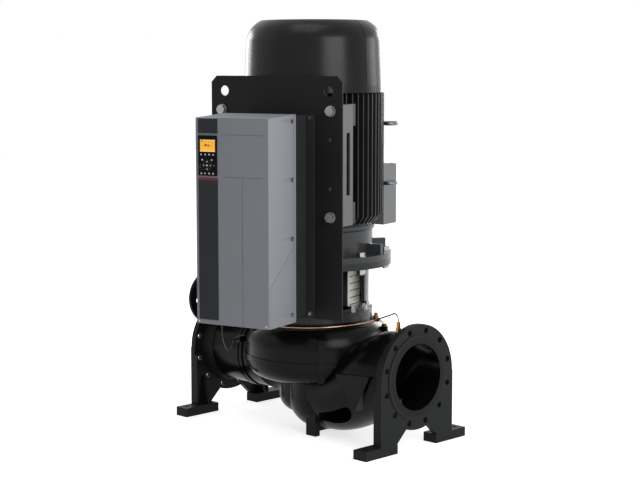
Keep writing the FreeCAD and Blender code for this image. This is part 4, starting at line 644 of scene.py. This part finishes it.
def turned_mesh(profile: Outline, steps: int, place: Matrix) -> bmesh.types.BMesh:
    """Turns an outline about its own upright axis.

    Args:
        profile: Radius and height of each corner.
        steps: Sides of the turned piece.
        place: Where the piece stands in the row frame, in metres.

    Returns:
        The closed mesh.
    """
    mesh = bmesh.new()
    rings = []
    for radius, height in profile:
        ring = []
        for x, y in oval_outline(radius, radius, steps):
            ring.append(mesh.verts.new(place @ (Vector((x, y, height)) * MM)))
        rings.append(ring)
    for low, high in zip(rings, rings[1:]):
        bridge(mesh, low, high)
    mesh.faces.new(rings[0][::-1])
    mesh.faces.new(rings[-1])
    return mesh


def plate_mesh(
    corners: Outline, thick: float, edge: float, place: Matrix
) -> bmesh.types.BMesh:
    """Makes a flat piece with softened edges from its outline.

    Args:
        corners: Outline, across and up.
        thick: Thickness, towards the viewer of the outline.
        edge: Radius of the softened edges.
        place: Turns and moves the piece into the row frame, in metres.

    Returns:
        The closed mesh.
    """
    mesh = bmesh.new()
    back = [mesh.verts.new(Vector((x, 0.0, z)) * MM) for x, z in corners]
    front = [mesh.verts.new(Vector((x, -thick, z)) * MM) for x, z in corners]
    mesh.faces.new(back)
    top = mesh.faces.new(front[::-1])
    bridge(mesh, front, back)
    bmesh.ops.bevel(
        mesh, geom=top.edges[:], offset=edge * MM, segments=2, affect="EDGES", profile=0.5
    )
    mesh.transform(place)
    return mesh


@dataclass
class Casing:
    """The casting that the water runs through, with its flanges, feet and lifting lug."""

    finishes: dict[str, Finishes] = field(
        default_factory=lambda: {
            "volute_casing": Finishes.CAST_IRON,
            "casing_cover": Finishes.CAST_IRON,
            "lifting_lug": Finishes.CAST_IRON,
            "inlet_stand": Finishes.FLANGE_IRON,
            "outlet_stand": Finishes.FLANGE_IRON,
            "wear_ring": Finishes.BRONZE,
            "seal_seat": Finishes.CERAMIC,
            "casing_studs": Finishes.ZINC,
        }
    )

    def build(self, shop: Workshop) -> None:
        """Dresses the castings, the flanges and what seals and clamps them.

        Args:
            shop: Where the finishes are made.
        """
        shop.dress(self.finishes)


@dataclass
class GuardShadeWings:
    """Dark inward wings of the two coupling guards, which close the view past their edges as
    painted shade.
    """

    # inner face of a guard, and both edges of the right one; the left one is turned half round
    guard_x: float = 184.0
    near_y: float = -66.0
    far_y: float = 50.0
    low_z: float = 497.0
    high_z: float = 632.0
    # how far a wing reaches in, its cut corners, its sheet and the sheet's softened edge
    depth: float = 118.0
    corner: float = 12.0
    thick: float = 1.5
    edge: float = 0.4

    def build(self, shop: Workshop) -> None:
        """Adds the four wings.

        Args:
            shop: Where the finishes are made.
        """
        number = 0
        for side in (1, -1):
            for y in (self.near_y, self.far_y):
                number += 1
                name = f"coupling_guard_shade_wing_{number}"
                wing = self.wing_mesh(side, side * y)
                # the wings belong to the guard sheet but take the motor's dark enamel as painted
                # shade inside the guards
                shop.add(name, wing, Finishes.MOTOR_IRON, "stainless_sheet")

    def wing_mesh(self, side: int, y: float) -> bmesh.types.BMesh:
        """Makes one wing from its outline.

        Args:
            side: 1 for the right guard, -1 for the left one.
            y: Where the wing stands, to the back.

        Returns:
            The mesh in the row frame.
        """
        deep = -side * self.depth
        soft = -side * (self.depth - self.corner)
        corners = [
            (0.0, self.low_z),
            (soft, self.low_z),
            (deep, self.low_z + self.corner),
            (deep, self.high_z - self.corner),
            (soft, self.high_z),
            (0.0, self.high_z),
        ]
        if side > 0:
            corners.reverse()
        place = head_matrix(side * self.guard_x, y + self.thick / 2, 0)
        return plate_mesh(corners, self.thick, self.edge, place)


@dataclass
class Rotor:
    """Everything that turns: impeller, shafts, coupling, rotor core and fan."""

    finishes: dict[str, Finishes] = field(
        default_factory=lambda: {
            "impeller": Finishes.BRONZE,
            "impeller_nut": Finishes.SHAFT,
            "pump_shaft": Finishes.SHAFT,
            "motor_shaft": Finishes.SHAFT,
            "seal_ring": Finishes.CARBON,
            "coupling": Finishes.COUPLING,
            "coupling_screws": Finishes.ZINC,
            "rotor_core": Finishes.LAMINATION,
            "cooling_fan": Finishes.NYLON,
        }
    )

    def build(self, shop: Workshop) -> None:
        """Dresses the turning nodes.

        Args:
            shop: Where the finishes are made.
        """
        shop.dress(self.finishes)


@dataclass
class Motor:
    """The finned motor with its end shields, fan cover, terminal box and lifting eyes."""

    finishes: dict[str, Finishes] = field(
        default_factory=lambda: {
            "motor_stool": Finishes.NECK_IRON_PAINTED_SHEEN,
            "lower_end_shield": Finishes.SHIELD_IRON_PAINTED_SHEEN,
            "motor_frame": Finishes.MOTOR_IRON,
            "upper_end_shield": Finishes.MOTOR_IRON,
            "terminal_box": Finishes.BOX_PAINT,
            "terminal_box_lid": Finishes.BOX_PAINT,
            "fan_cover": Finishes.FAN_COVER,
            "stator_core": Finishes.LAMINATION,
            "lower_bearing": Finishes.BEARING,
            "upper_bearing": Finishes.BEARING,
            "eyebolts": Finishes.DULL_ZINC,
            "coupling_guard_right": Finishes.STAINLESS,
            "coupling_guard_left": Finishes.STAINLESS,
            "hex_bolts": Finishes.ZINC,
        }
    )
    # terminal box: half its width, its inner and outer face, the lid's joint and top
    box_half: float = 157.0
    box_in: float = 285.0
    box_out: float = 396.0
    box_split: float = 944.0
    box_top: float = 1019.0
    # the gasket in that joint
    gasket_proud: float = 0.8
    gasket_height: float = 2.4
    gasket_edge: float = 0.3
    # lid screws: distance from the lid's sides, then radius and height of the head's corners
    screw_inset: float = 14.0
    screw_profile: tuple[tuple[float, float], ...] = (
        (5.0, -0.2), (5.0, 1.2), (4.5, 2.2), (3.1, 2.9), (2.5, 2.9), (2.2, 1.4), (0.2, 1.3),
    )
    # closed cable entries on the left: radius of each corner and its distance from the box
    entry_inset: float = 34.0
    entry_z: float = 862.0
    entry_profile: tuple[tuple[float, float], ...] = (
        (17.0, -0.2), (17.0, 5.0), (15.81, 6.4), (9.35, 6.6), (8.5, 4.6), (0.2, 4.6),
    )
    entry_steps: int = 32

    def build(self, shop: Workshop) -> None:
        """Dresses the motor's nodes and adds the small parts of the terminal box.

        Args:
            shop: Where the finishes are made.
        """
        shop.dress(self.finishes)
        shop.add("terminal_gasket", self.gasket_mesh(), Finishes.GASKET, "gland_plastic")
        number = 0
        for x in (-self.box_half + self.screw_inset, self.box_half - self.screw_inset):
            for y in (self.box_in + self.screw_inset, self.box_out - self.screw_inset):
                number += 1
                place = head_matrix(x, y, self.box_top)
                screw = turned_mesh(self.screw_profile, ROUND_STEPS, place)
                shop.add(f"terminal_lid_screw_{number}", screw, Finishes.ZINC, "zinc_steel")
        outward = Matrix.Rotation(math.radians(-90), 4, "Y")
        entries = (self.box_in + self.entry_inset, self.box_out - self.entry_inset)
        for number, y in enumerate(entries, 1):
            place = head_matrix(-self.box_half, y, self.entry_z, outward)
            plug = turned_mesh(self.entry_profile, self.entry_steps, place)
            shop.add(f"terminal_entry_plug_{number}", plug, Finishes.NYLON, "gland_plastic")

    def gasket_mesh(self) -> bmesh.types.BMesh:
        """Makes the gasket's edge, which shows as a dark line round the box.

        Returns:
            The mesh in the row frame.
        """
        half = self.box_half + self.gasket_proud
        near = self.box_in - self.gasket_proud
        far = self.box_out + self.gasket_proud
        corners = [(-half, -near), (half, -near), (half, -far), (-half, -far)]
        lie_down = Matrix.Rotation(math.radians(90), 4, "X")
        place = head_matrix(0, 0, self.box_split - self.gasket_height / 2, lie_down)
        return plate_mesh(corners, -self.gasket_height, self.gasket_edge, place)


@dataclass
class Drive:
    """The speed drive on its plate: brackets, body, cover, strip, panel, window and keys."""

    finishes: dict[str, Finishes] = field(
        default_factory=lambda: {
            "mounting_plate": Finishes.PLATE,
            "side_bracket_right": Finishes.BRACKET,
            "side_bracket_left": Finishes.BRACKET,
            "drive_frame": Finishes.DRIVE_BODY,
            "drive_cover": Finishes.DRIVE_COVER,
            "front_strip": Finishes.STRIP,
            "control_panel": Finishes.PANEL,
            "display": Finishes.DISPLAY,
            "panel_screws": Finishes.SMALL_SCREW,
            "cable_glands": Finishes.NYLON,
        }
    )
    # front of the dark strip, and the trim bar on it
    strip_y: float = -591.0
    trim_left: float = -141.0
    trim_right: float = -60.0
    trim_low: float = 1005.8
    trim_high: float = 1013.0
    trim_proud: float = 0.7
    trim_edge: float = 0.35
    # front of the keys, and the middle of each, across and up
    key_top_y: float = -595.2
    key_places: dict[str, tuple[float, float]] = field(
        default_factory=lambda: {
            "menu_key_1": (-126, 1098),
            "menu_key_2": (-108.5, 1098),
            "menu_key_3": (-91.5, 1098),
            "menu_key_4": (-74, 1098),
            "back_key": (-121, 1079),
            "cancel_key": (-80.5, 1079),
            "up_key": (-101, 1073),
            "ok_key": (-101, 1059),
            "left_key": (-115.5, 1059),
            "right_key": (-86.5, 1059),
            "down_key": (-101, 1045.5),
            "mode_key_1": (-125.5, 1030),
            "mode_key_2": (-109.5, 1030),
            "mode_key_3": (-92, 1030),
            "mode_key_4": (-75, 1030),
        }
    )
    # print on the keys: dots, a wider one on the middle key, and pointers turned from up
    mark_proud: float = 0.35
    mark_edge: float = 0.15
    mark_r: float = 3.0
    ok_widening: float = 1.2
    pointers: dict[str, float] = field(
        default_factory=lambda: {
            "up_key": 0.0, "left_key": 90.0, "down_key": 180.0, "right_key": -90.0
        }
    )
    pointer_outline: tuple[tuple[float, float], ...] = (
        (-2.9, -1.6), (2.9, -1.6), (2.0, 0.4), (0.0, 2.3), (-2.0, 0.4),
    )
    # flat marks: how far from oval to square, and the softened share of their thickness
    squareness: float = 0.6
    softness: float = 0.4
    # middle of each mark across and up, half its width and half its height
    panel_marks: tuple[tuple[float, float, float, float], ...] = (
        (-129.5, 1060.5, 2.6, 0.9),
        (-130.5, 1051.0, 2.8, 0.9),
        (-126.0, 1042.5, 2.8, 0.9),
        (-72.0, 1059.5, 2.6, 2.6),
    )
    panel_mark_proud: float = 0.2
    # front of the window, and the same four sizes of its dark cells
    window_y: float = -593.6
    window_cells: tuple[tuple[float, float, float, float], ...] = (
        (-123.0, 1146.3, 3.6, 2.2),
        (-107.0, 1143.0, 5.0, 0.6),
        (-92.0, 1144.0, 6.0, 0.6),
        (-78.0, 1142.5, 3.0, 0.6),
        (-108.5, 1131.5, 3.0, 3.8),
        (-101.5, 1131.0, 2.2, 4.2),
        (-94.5, 1130.5, 1.6, 4.6),
        (-88.0, 1128.0, 2.6, 1.2),
    )
    window_cell_proud: float = 0.08
    # raised ring round the arrow keys: each corner's share of the width and place to the back
    ring_r: float = 20.6
    ring_width: float = 0.9
    ring_profile: tuple[tuple[float, float], ...] = (
        (0.0, 0.05), (0.0, -0.25), (0.3, -0.4), (0.7, -0.4), (1.0, -0.25), (1.0, 0.05),
    )
    ring_steps: int = 64

    def build(self, shop: Workshop) -> None:
        """Dresses the drive, then adds the trim bar, the ring and the marks.

        Args:
            shop: Where the finishes are made.
        """
        shop.dress(self.finishes)
        shop.dress({node: Finishes.KEY for node in self.key_places})
        shop.add("trim_bar", self.trim_mesh(), Finishes.RED_TRIM, "strip_plastic")
        shop.add("key_field_ring", self.ring_mesh(), Finishes.STRIP, "panel_plastic")
        for key, (x, z) in self.key_places.items():
            mark = self.key_mark(key, x, z)
            shop.add(f"{key}_mark", mark, Finishes.PRINT, "key_rubber", f"{key}_body")
        for number, sizes in enumerate(self.panel_marks, 1):
            mark = self.flat_mark(PANEL_Y, self.panel_mark_proud, *sizes)
            shop.add(f"panel_mark_{number}", mark, Finishes.FAINT_PRINT, "panel_plastic")
        for number, sizes in enumerate(self.window_cells, 1):
            cell = self.flat_mark(self.window_y, self.window_cell_proud, *sizes)
            shop.add(f"window_cell_{number}", cell, Finishes.WINDOW_MARK, "amber_glass")

    def flat_mark(
        self, y: float, thick: float, x: float, z: float, half_x: float, half_z: float
    ) -> bmesh.types.BMesh:
        """Makes a thin rounded mark on a flat front.

        Args:
            y: Front that it lies on.
            thick: How far it stands proud.
            x: Its middle, across.
            z: Its middle, up.
            half_x: Half its width.
            half_z: Half its height.

        Returns:
            The mesh in the row frame.
        """
        corners = []
        for across, up in oval_outline(1.0, 1.0, ROUND_STEPS):
            stretch = 1 / max(abs(across), abs(up)) ** self.squareness
            corners.append((across * stretch * half_x, up * stretch * half_z))
        return plate_mesh(corners, thick, thick * self.softness, head_matrix(x, y + SINK, z))

    def key_mark(self, key: str, x: float, z: float) -> bmesh.types.BMesh:
        """Makes the pale mark on a key: a pointer on the four arrow keys, a dot on the others.

        Args:
            key: The key's node.
            x: Its middle, across.
            z: Its middle, up.

        Returns:
            The mesh in the row frame.
        """
        y = self.key_top_y + SINK
        if key in self.pointers:
            turn = Matrix.Rotation(math.radians(-self.pointers[key]), 4, "Y")
            corners = self.pointer_outline
            place = head_matrix(x, y, z, turn)
        else:
            wide = self.ok_widening if key == "ok_key" else 1.0
            corners = oval_outline(self.mark_r * wide, self.mark_r, ROUND_STEPS)
            place = head_matrix(x, y, z)
        return plate_mesh(corners, self.mark_proud, self.mark_edge, place)

    def ring_mesh(self) -> bmesh.types.BMesh:
        """Makes the fine raised ring round the arrow keys.

        Returns:
            The mesh in the row frame.
        """
        mesh = bmesh.new()
        place = head_matrix(FIELD_X, PANEL_Y, FIELD_Z)
        loops = []
        for share, y in self.ring_profile:
            radius = self.ring_r + self.ring_width * share
            loop = []
            for x, z in oval_outline(radius, radius, self.ring_steps):
                loop.append(mesh.verts.new(place @ (Vector((x, y, z)) * MM)))
            loops.append(loop)
        for loop, other in zip(loops, loops[1:] + loops[:1]):
            bridge(mesh, loop, other)
        return mesh

    def trim_mesh(self) -> bmesh.types.BMesh:
        """Makes the trim bar at the head of the lower strip.

        Returns:
            The mesh in the row frame.
        """
        half_x = (self.trim_right - self.trim_left) / 2
        half_z = (self.trim_high - self.trim_low) / 2
        corners = [
            (-half_x, -half_z), (half_x, -half_z), (half_x, half_z), (-half_x, half_z)
        ]
        middle_x = (self.trim_left + self.trim_right) / 2
        middle_z = (self.trim_low + self.trim_high) / 2
        place = head_matrix(middle_x, self.strip_y + SINK, middle_z)
        return plate_mesh(corners, self.trim_proud, self.trim_edge, place)


@dataclass
class Lines:
    """The copper flush line, its fittings, the pressure sensor and the sensor's cable.

    Places are in the row frame, since the cable runs from the casing to the head.
    """

    finishes: dict[str, Finishes] = field(
        default_factory=lambda: {
            "flush_line": Finishes.COPPER,
            "pipe_fittings": Finishes.BRASS,
            "pressure_sensor": Finishes.NYLON,
            "sensor_cable": Finishes.SHEATH,
        }
    )
    # where the cable leaves the sensor, where its bow starts, and its end in the gland
    sensor: tuple[float, float, float] = (-266.0, -179.0, 334.0)
    sag_start: tuple[float, float, float] = (-266.0, -201.0, 333.0)
    cable_end: tuple[float, float, float] = (35.0, -525.0, 482.0)
    cable_steps: int = 16
    # drop of the bow over its span at its first slope, and the upright piece at its end
    cable_sag: float = 88.0
    cable_rise: float = 57.0
    cable_diameter: float = 4.0
    # length along the route, in metres
    cable_length: float = 0.53
    # strain reliefs: how far they reach in, then radius and height of each corner
    gland_low_z: float = 469.0
    gland_overlap: float = 0.3
    sensor_overlap: float = 1.3
    relief_profile: tuple[tuple[float, float], ...] = (
        (5.2, 0.0), (5.2, 3.0), (4.3, 3.6), (4.3, 4.8), (4.9, 5.4), (4.7, 7.2), (3.9, 7.8),
        (3.9, 9.0), (4.4, 9.6), (4.2, 11.4), (3.5, 12.0), (3.5, 13.2), (3.9, 13.8), (3.6, 15.6),
        (3.1, 16.2), (3.0, 22.0), (2.3, 22.6),
    )

    def build(self, shop: Workshop) -> None:
        """Dresses the line, lays the cable and puts a strain relief on each of its ends.

        Args:
            shop: Where the finishes are made.
        """
        shop.dress(self.finishes)
        self.cable(shop)
        across, back, up = self.sensor
        in_gland = (*self.cable_end[:2], self.gland_low_z + self.gland_overlap)
        in_sensor = (across, back + self.sensor_overlap, up)
        reliefs = (("drive_strain_relief", in_gland, 180), ("sensor_strain_relief", in_sensor, 90))
        for name, point, degrees in reliefs:
            turn = Matrix.Rotation(math.radians(degrees), 4, "X")
            place = Matrix.Translation(Vector(point) * MM) @ turn
            relief = turned_mesh(self.relief_profile, ROUND_STEPS, place)
            shop.add(name, relief, Finishes.NYLON, "gland_plastic")

    def route(self) -> list[Vector]:
        """Gives the cable's route as in the solids.

        Returns:
            Its points in metres.
        """
        start = Vector(self.sag_start)
        stop = Vector(self.cable_end) - Vector((0, 0, self.cable_rise))
        rise = stop.z - start.z
        points = [Vector(self.sensor)]
        for index in range(self.cable_steps + 1):
            share = index / self.cable_steps
            point = start.lerp(stop, share)
            point.z = start.z - self.cable_sag * share + (self.cable_sag + rise) * share**2
            points.append(point)
        points.append(Vector(self.cable_end))
        return [point * MM for point in points]

    def cable(self, shop: Workshop) -> None:
        """Lays the sensor cable as one smooth line.

        Args:
            shop: Where the finishes are made.
        """
        points = self.route()
        curve = bpy.data.curves.new("sensor_lead", "CURVE")
        curve.dimensions = "3D"
        curve.bevel_depth = self.cable_diameter / 2 * MM
        curve.bevel_resolution = 4
        curve.use_fill_caps = True
        spline = curve.splines.new("NURBS")
        spline.points.add(len(points) - 1)
        for place, point in zip(spline.points, points):
            place.co = (*point, 1.0)
        spline.order_u = 3
        spline.use_endpoint_u = True
        spline.resolution_u = 8
        curve.materials.append(shop.material(Finishes.SHEATH))
        lead = bpy.data.objects.new("sensor_lead", curve)
        bpy.context.scene.collection.objects.link(lead)
        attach(lead, BASE_BODY)
        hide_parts("sensor_cable")


@dataclass(frozen=True)
class SoftLamp:
    """A square lamp that the camera doesn't see. Its places and its edge are in metres."""

    name: str
    place: tuple[float, float, float]
    target: tuple[float, float, float]
    size: float
    watts: float

    def hang(self) -> None:
        """Hangs the lamp and points it at its target."""
        light = bpy.data.lights.new(self.name, "AREA")
        light.size = self.size
        light.energy = self.watts
        lamp = bpy.data.objects.new(self.name, light)
        lamp.location = self.place
        aim = Vector(self.target) - Vector(self.place)
        lamp.rotation_euler = aim.to_track_quat("-Z", "Y").to_euler()
        lamp.visible_camera = False
        bpy.context.scene.collection.objects.link(lamp)


@dataclass
class Studio:
    """Pale floor, soft lamps, plain world and the camera. Places and sizes are in metres."""

    lamps: tuple[SoftLamp, ...] = (
        SoftLamp("right_softbox", (3.45, -0.75, 2.2), (0.0, 0.0, 0.9), 2.2, 88.0),
        SoftLamp("back_softbox", (1.9, 4.4, 2.0), (0.0, 0.0, 0.9), 1.6, 42.0),
        SoftLamp("left_rim_box", (-4.0, 0.5, 1.8), (0.0, 0.0, 1.0), 1.6, 60.0),
        SoftLamp("right_rim_box", (-1.2, 4.6, 1.8), (0.0, 0.0, 1.0), 1.6, 60.0),
        SoftLamp("left_softbox", (-2.6, -3.0, 2.8), (0.0, 0.0, 0.8), 2.4, 5.0),
        SoftLamp("top_softbox", (0.4, -1.0, 4.2), (0.0, 0.0, 0.6), 2.0, 25.0),
    )
    ambient: float = 0.24
    room_colour: str = "#F4F6FA"
    # the floor turns plain white between the near and the far distance from the middle
    floor_size: float = 30.0
    floor_drop: float = 0.0005
    floor_colour: str = "#E4E4E4"
    floor_near: float = 0.6
    floor_far: float = 2.2
    floor_near_glow: float = 0.72
    floor_far_glow: float = 1.1
    # the photograph's camera, with its turn to the left and its look down in degrees
    camera_place: tuple[float, float, float] = (4.1638, -4.1792, 1.4237)
    camera_turn: float = 44.77
    camera_drop: float = 6.64
    lens_mm: float = 85.6
    sensor_mm: float = 36.0
    view_depth: float = 100.0

    def build(self) -> None:
        """Makes the stage, the light and the camera."""
        self.floor()
        self.world()
        for lamp in self.lamps:
            lamp.hang()
        self.camera()

    def seen(self, tree: bpy.types.NodeTree) -> bpy.types.NodeSocket:
        """Tells the rays that show the background from those that light the object.

        Args:
            tree: The floor's or the world's nodes.

        Returns:
            1 for a ray from the camera, off a gloss or through a surface, otherwise 0.
        """
        rays = add_node(tree, "ShaderNodeLightPath")
        either = rays.outputs["Is Camera Ray"]
        for name in ("Is Glossy Ray", "Is Transmission Ray"):
            larger = add_node(
                tree,
                "ShaderNodeMath",
                {"operation": "MAXIMUM"},
                {0: either, 1: rays.outputs[name]},
            )
            either = larger.outputs["Value"]
        return either

    def floor(self) -> None:
        """Lays a pale floor that the camera sees as white with the object's shadow."""
        mesh = bmesh.new()
        bmesh.ops.create_grid(mesh, x_segments=1, y_segments=1, size=self.floor_size / 2)
        data = bpy.data.meshes.new("floor")
        mesh.to_mesh(data)
        mesh.free()
        floor = bpy.data.objects.new("floor", data)
        floor.location = (0, 0, -self.floor_drop)
        bpy.context.scene.collection.objects.link(floor)
        material = bpy.data.materials.new("pale_floor")
        material.use_nodes = True
        tree = material.node_tree
        tree.nodes.clear()
        plain = add_node(
            tree, "ShaderNodeBsdfDiffuse", inputs={"Color": linear(self.floor_colour)}
        )
        place = add_node(tree, "ShaderNodeTexCoord").outputs["Object"]
        distance = add_node(
            tree, "ShaderNodeVectorMath", {"operation": "LENGTH"}, {0: place}
        )
        strength = add_node(
            tree,
            "ShaderNodeMapRange",
            inputs={
                "Value": distance.outputs["Value"],
                "From Min": self.floor_near,
                "From Max": self.floor_far,
                "To Min": self.floor_near_glow,
                "To Max": self.floor_far_glow,
            },
        )
        white = add_node(
            tree,
            "ShaderNodeEmission",
            inputs={"Color": linear(WHITE), "Strength": strength.outputs["Result"]},
        )
        bright = add_node(
            tree,
            "ShaderNodeAddShader",
            inputs={0: plain.outputs["BSDF"], 1: white.outputs["Emission"]},
        )
        mixed = add_node(
            tree,
            "ShaderNodeMixShader",
            inputs={0: self.seen(tree), 1: plain.outputs["BSDF"], 2: bright.outputs["Shader"]},
        )
        add_node(
            tree, "ShaderNodeOutputMaterial", inputs={"Surface": mixed.outputs["Shader"]}
        )
        data.materials.append(material)

    def world(self) -> None:
        """Lights the room evenly and shows it as white behind the object."""
        world = bpy.data.worlds.new("studio")
        bpy.context.scene.world = world
        world.use_nodes = True
        tree = world.node_tree
        tree.nodes.clear()
        soft = add_node(
            tree,
            "ShaderNodeBackground",
            inputs={"Color": linear(self.room_colour), "Strength": self.ambient},
        )
        white = add_node(
            tree, "ShaderNodeBackground", inputs={"Color": linear(WHITE), "Strength": 1.0}
        )
        mixed = add_node(
            tree,
            "ShaderNodeMixShader",
            inputs={
                0: self.seen(tree),
                1: soft.outputs["Background"],
                2: white.outputs["Background"],
            },
        )
        add_node(tree, "ShaderNodeOutputWorld", inputs={"Surface": mixed.outputs["Shader"]})

    def camera(self) -> None:
        """Sets the camera at the photograph's angle."""
        data = bpy.data.cameras.new("camera")
        data.lens = self.lens_mm
        data.sensor_width = self.sensor_mm
        data.clip_end = self.view_depth
        camera = bpy.data.objects.new("camera", data)
        camera.location = self.camera_place
        camera.rotation_euler = (
            math.radians(90 - self.camera_drop),
            0.0,
            math.radians(self.camera_turn),
        )
        bpy.context.scene.collection.objects.link(camera)
        bpy.context.scene.camera = camera


def main() -> None:
    """Builds the pump's looks and the studio."""
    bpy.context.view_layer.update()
    bpy.context.scene.view_settings.view_transform = "Standard"
    shop = Workshop()
    Studio().build()
    for assembly in (Lines(), Casing(), GuardShadeWings(), Rotor(), Motor(), Drive()):
        assembly.build(shop)
    bpy.context.view_layer.update()


if __name__ == "__main__":
    main()
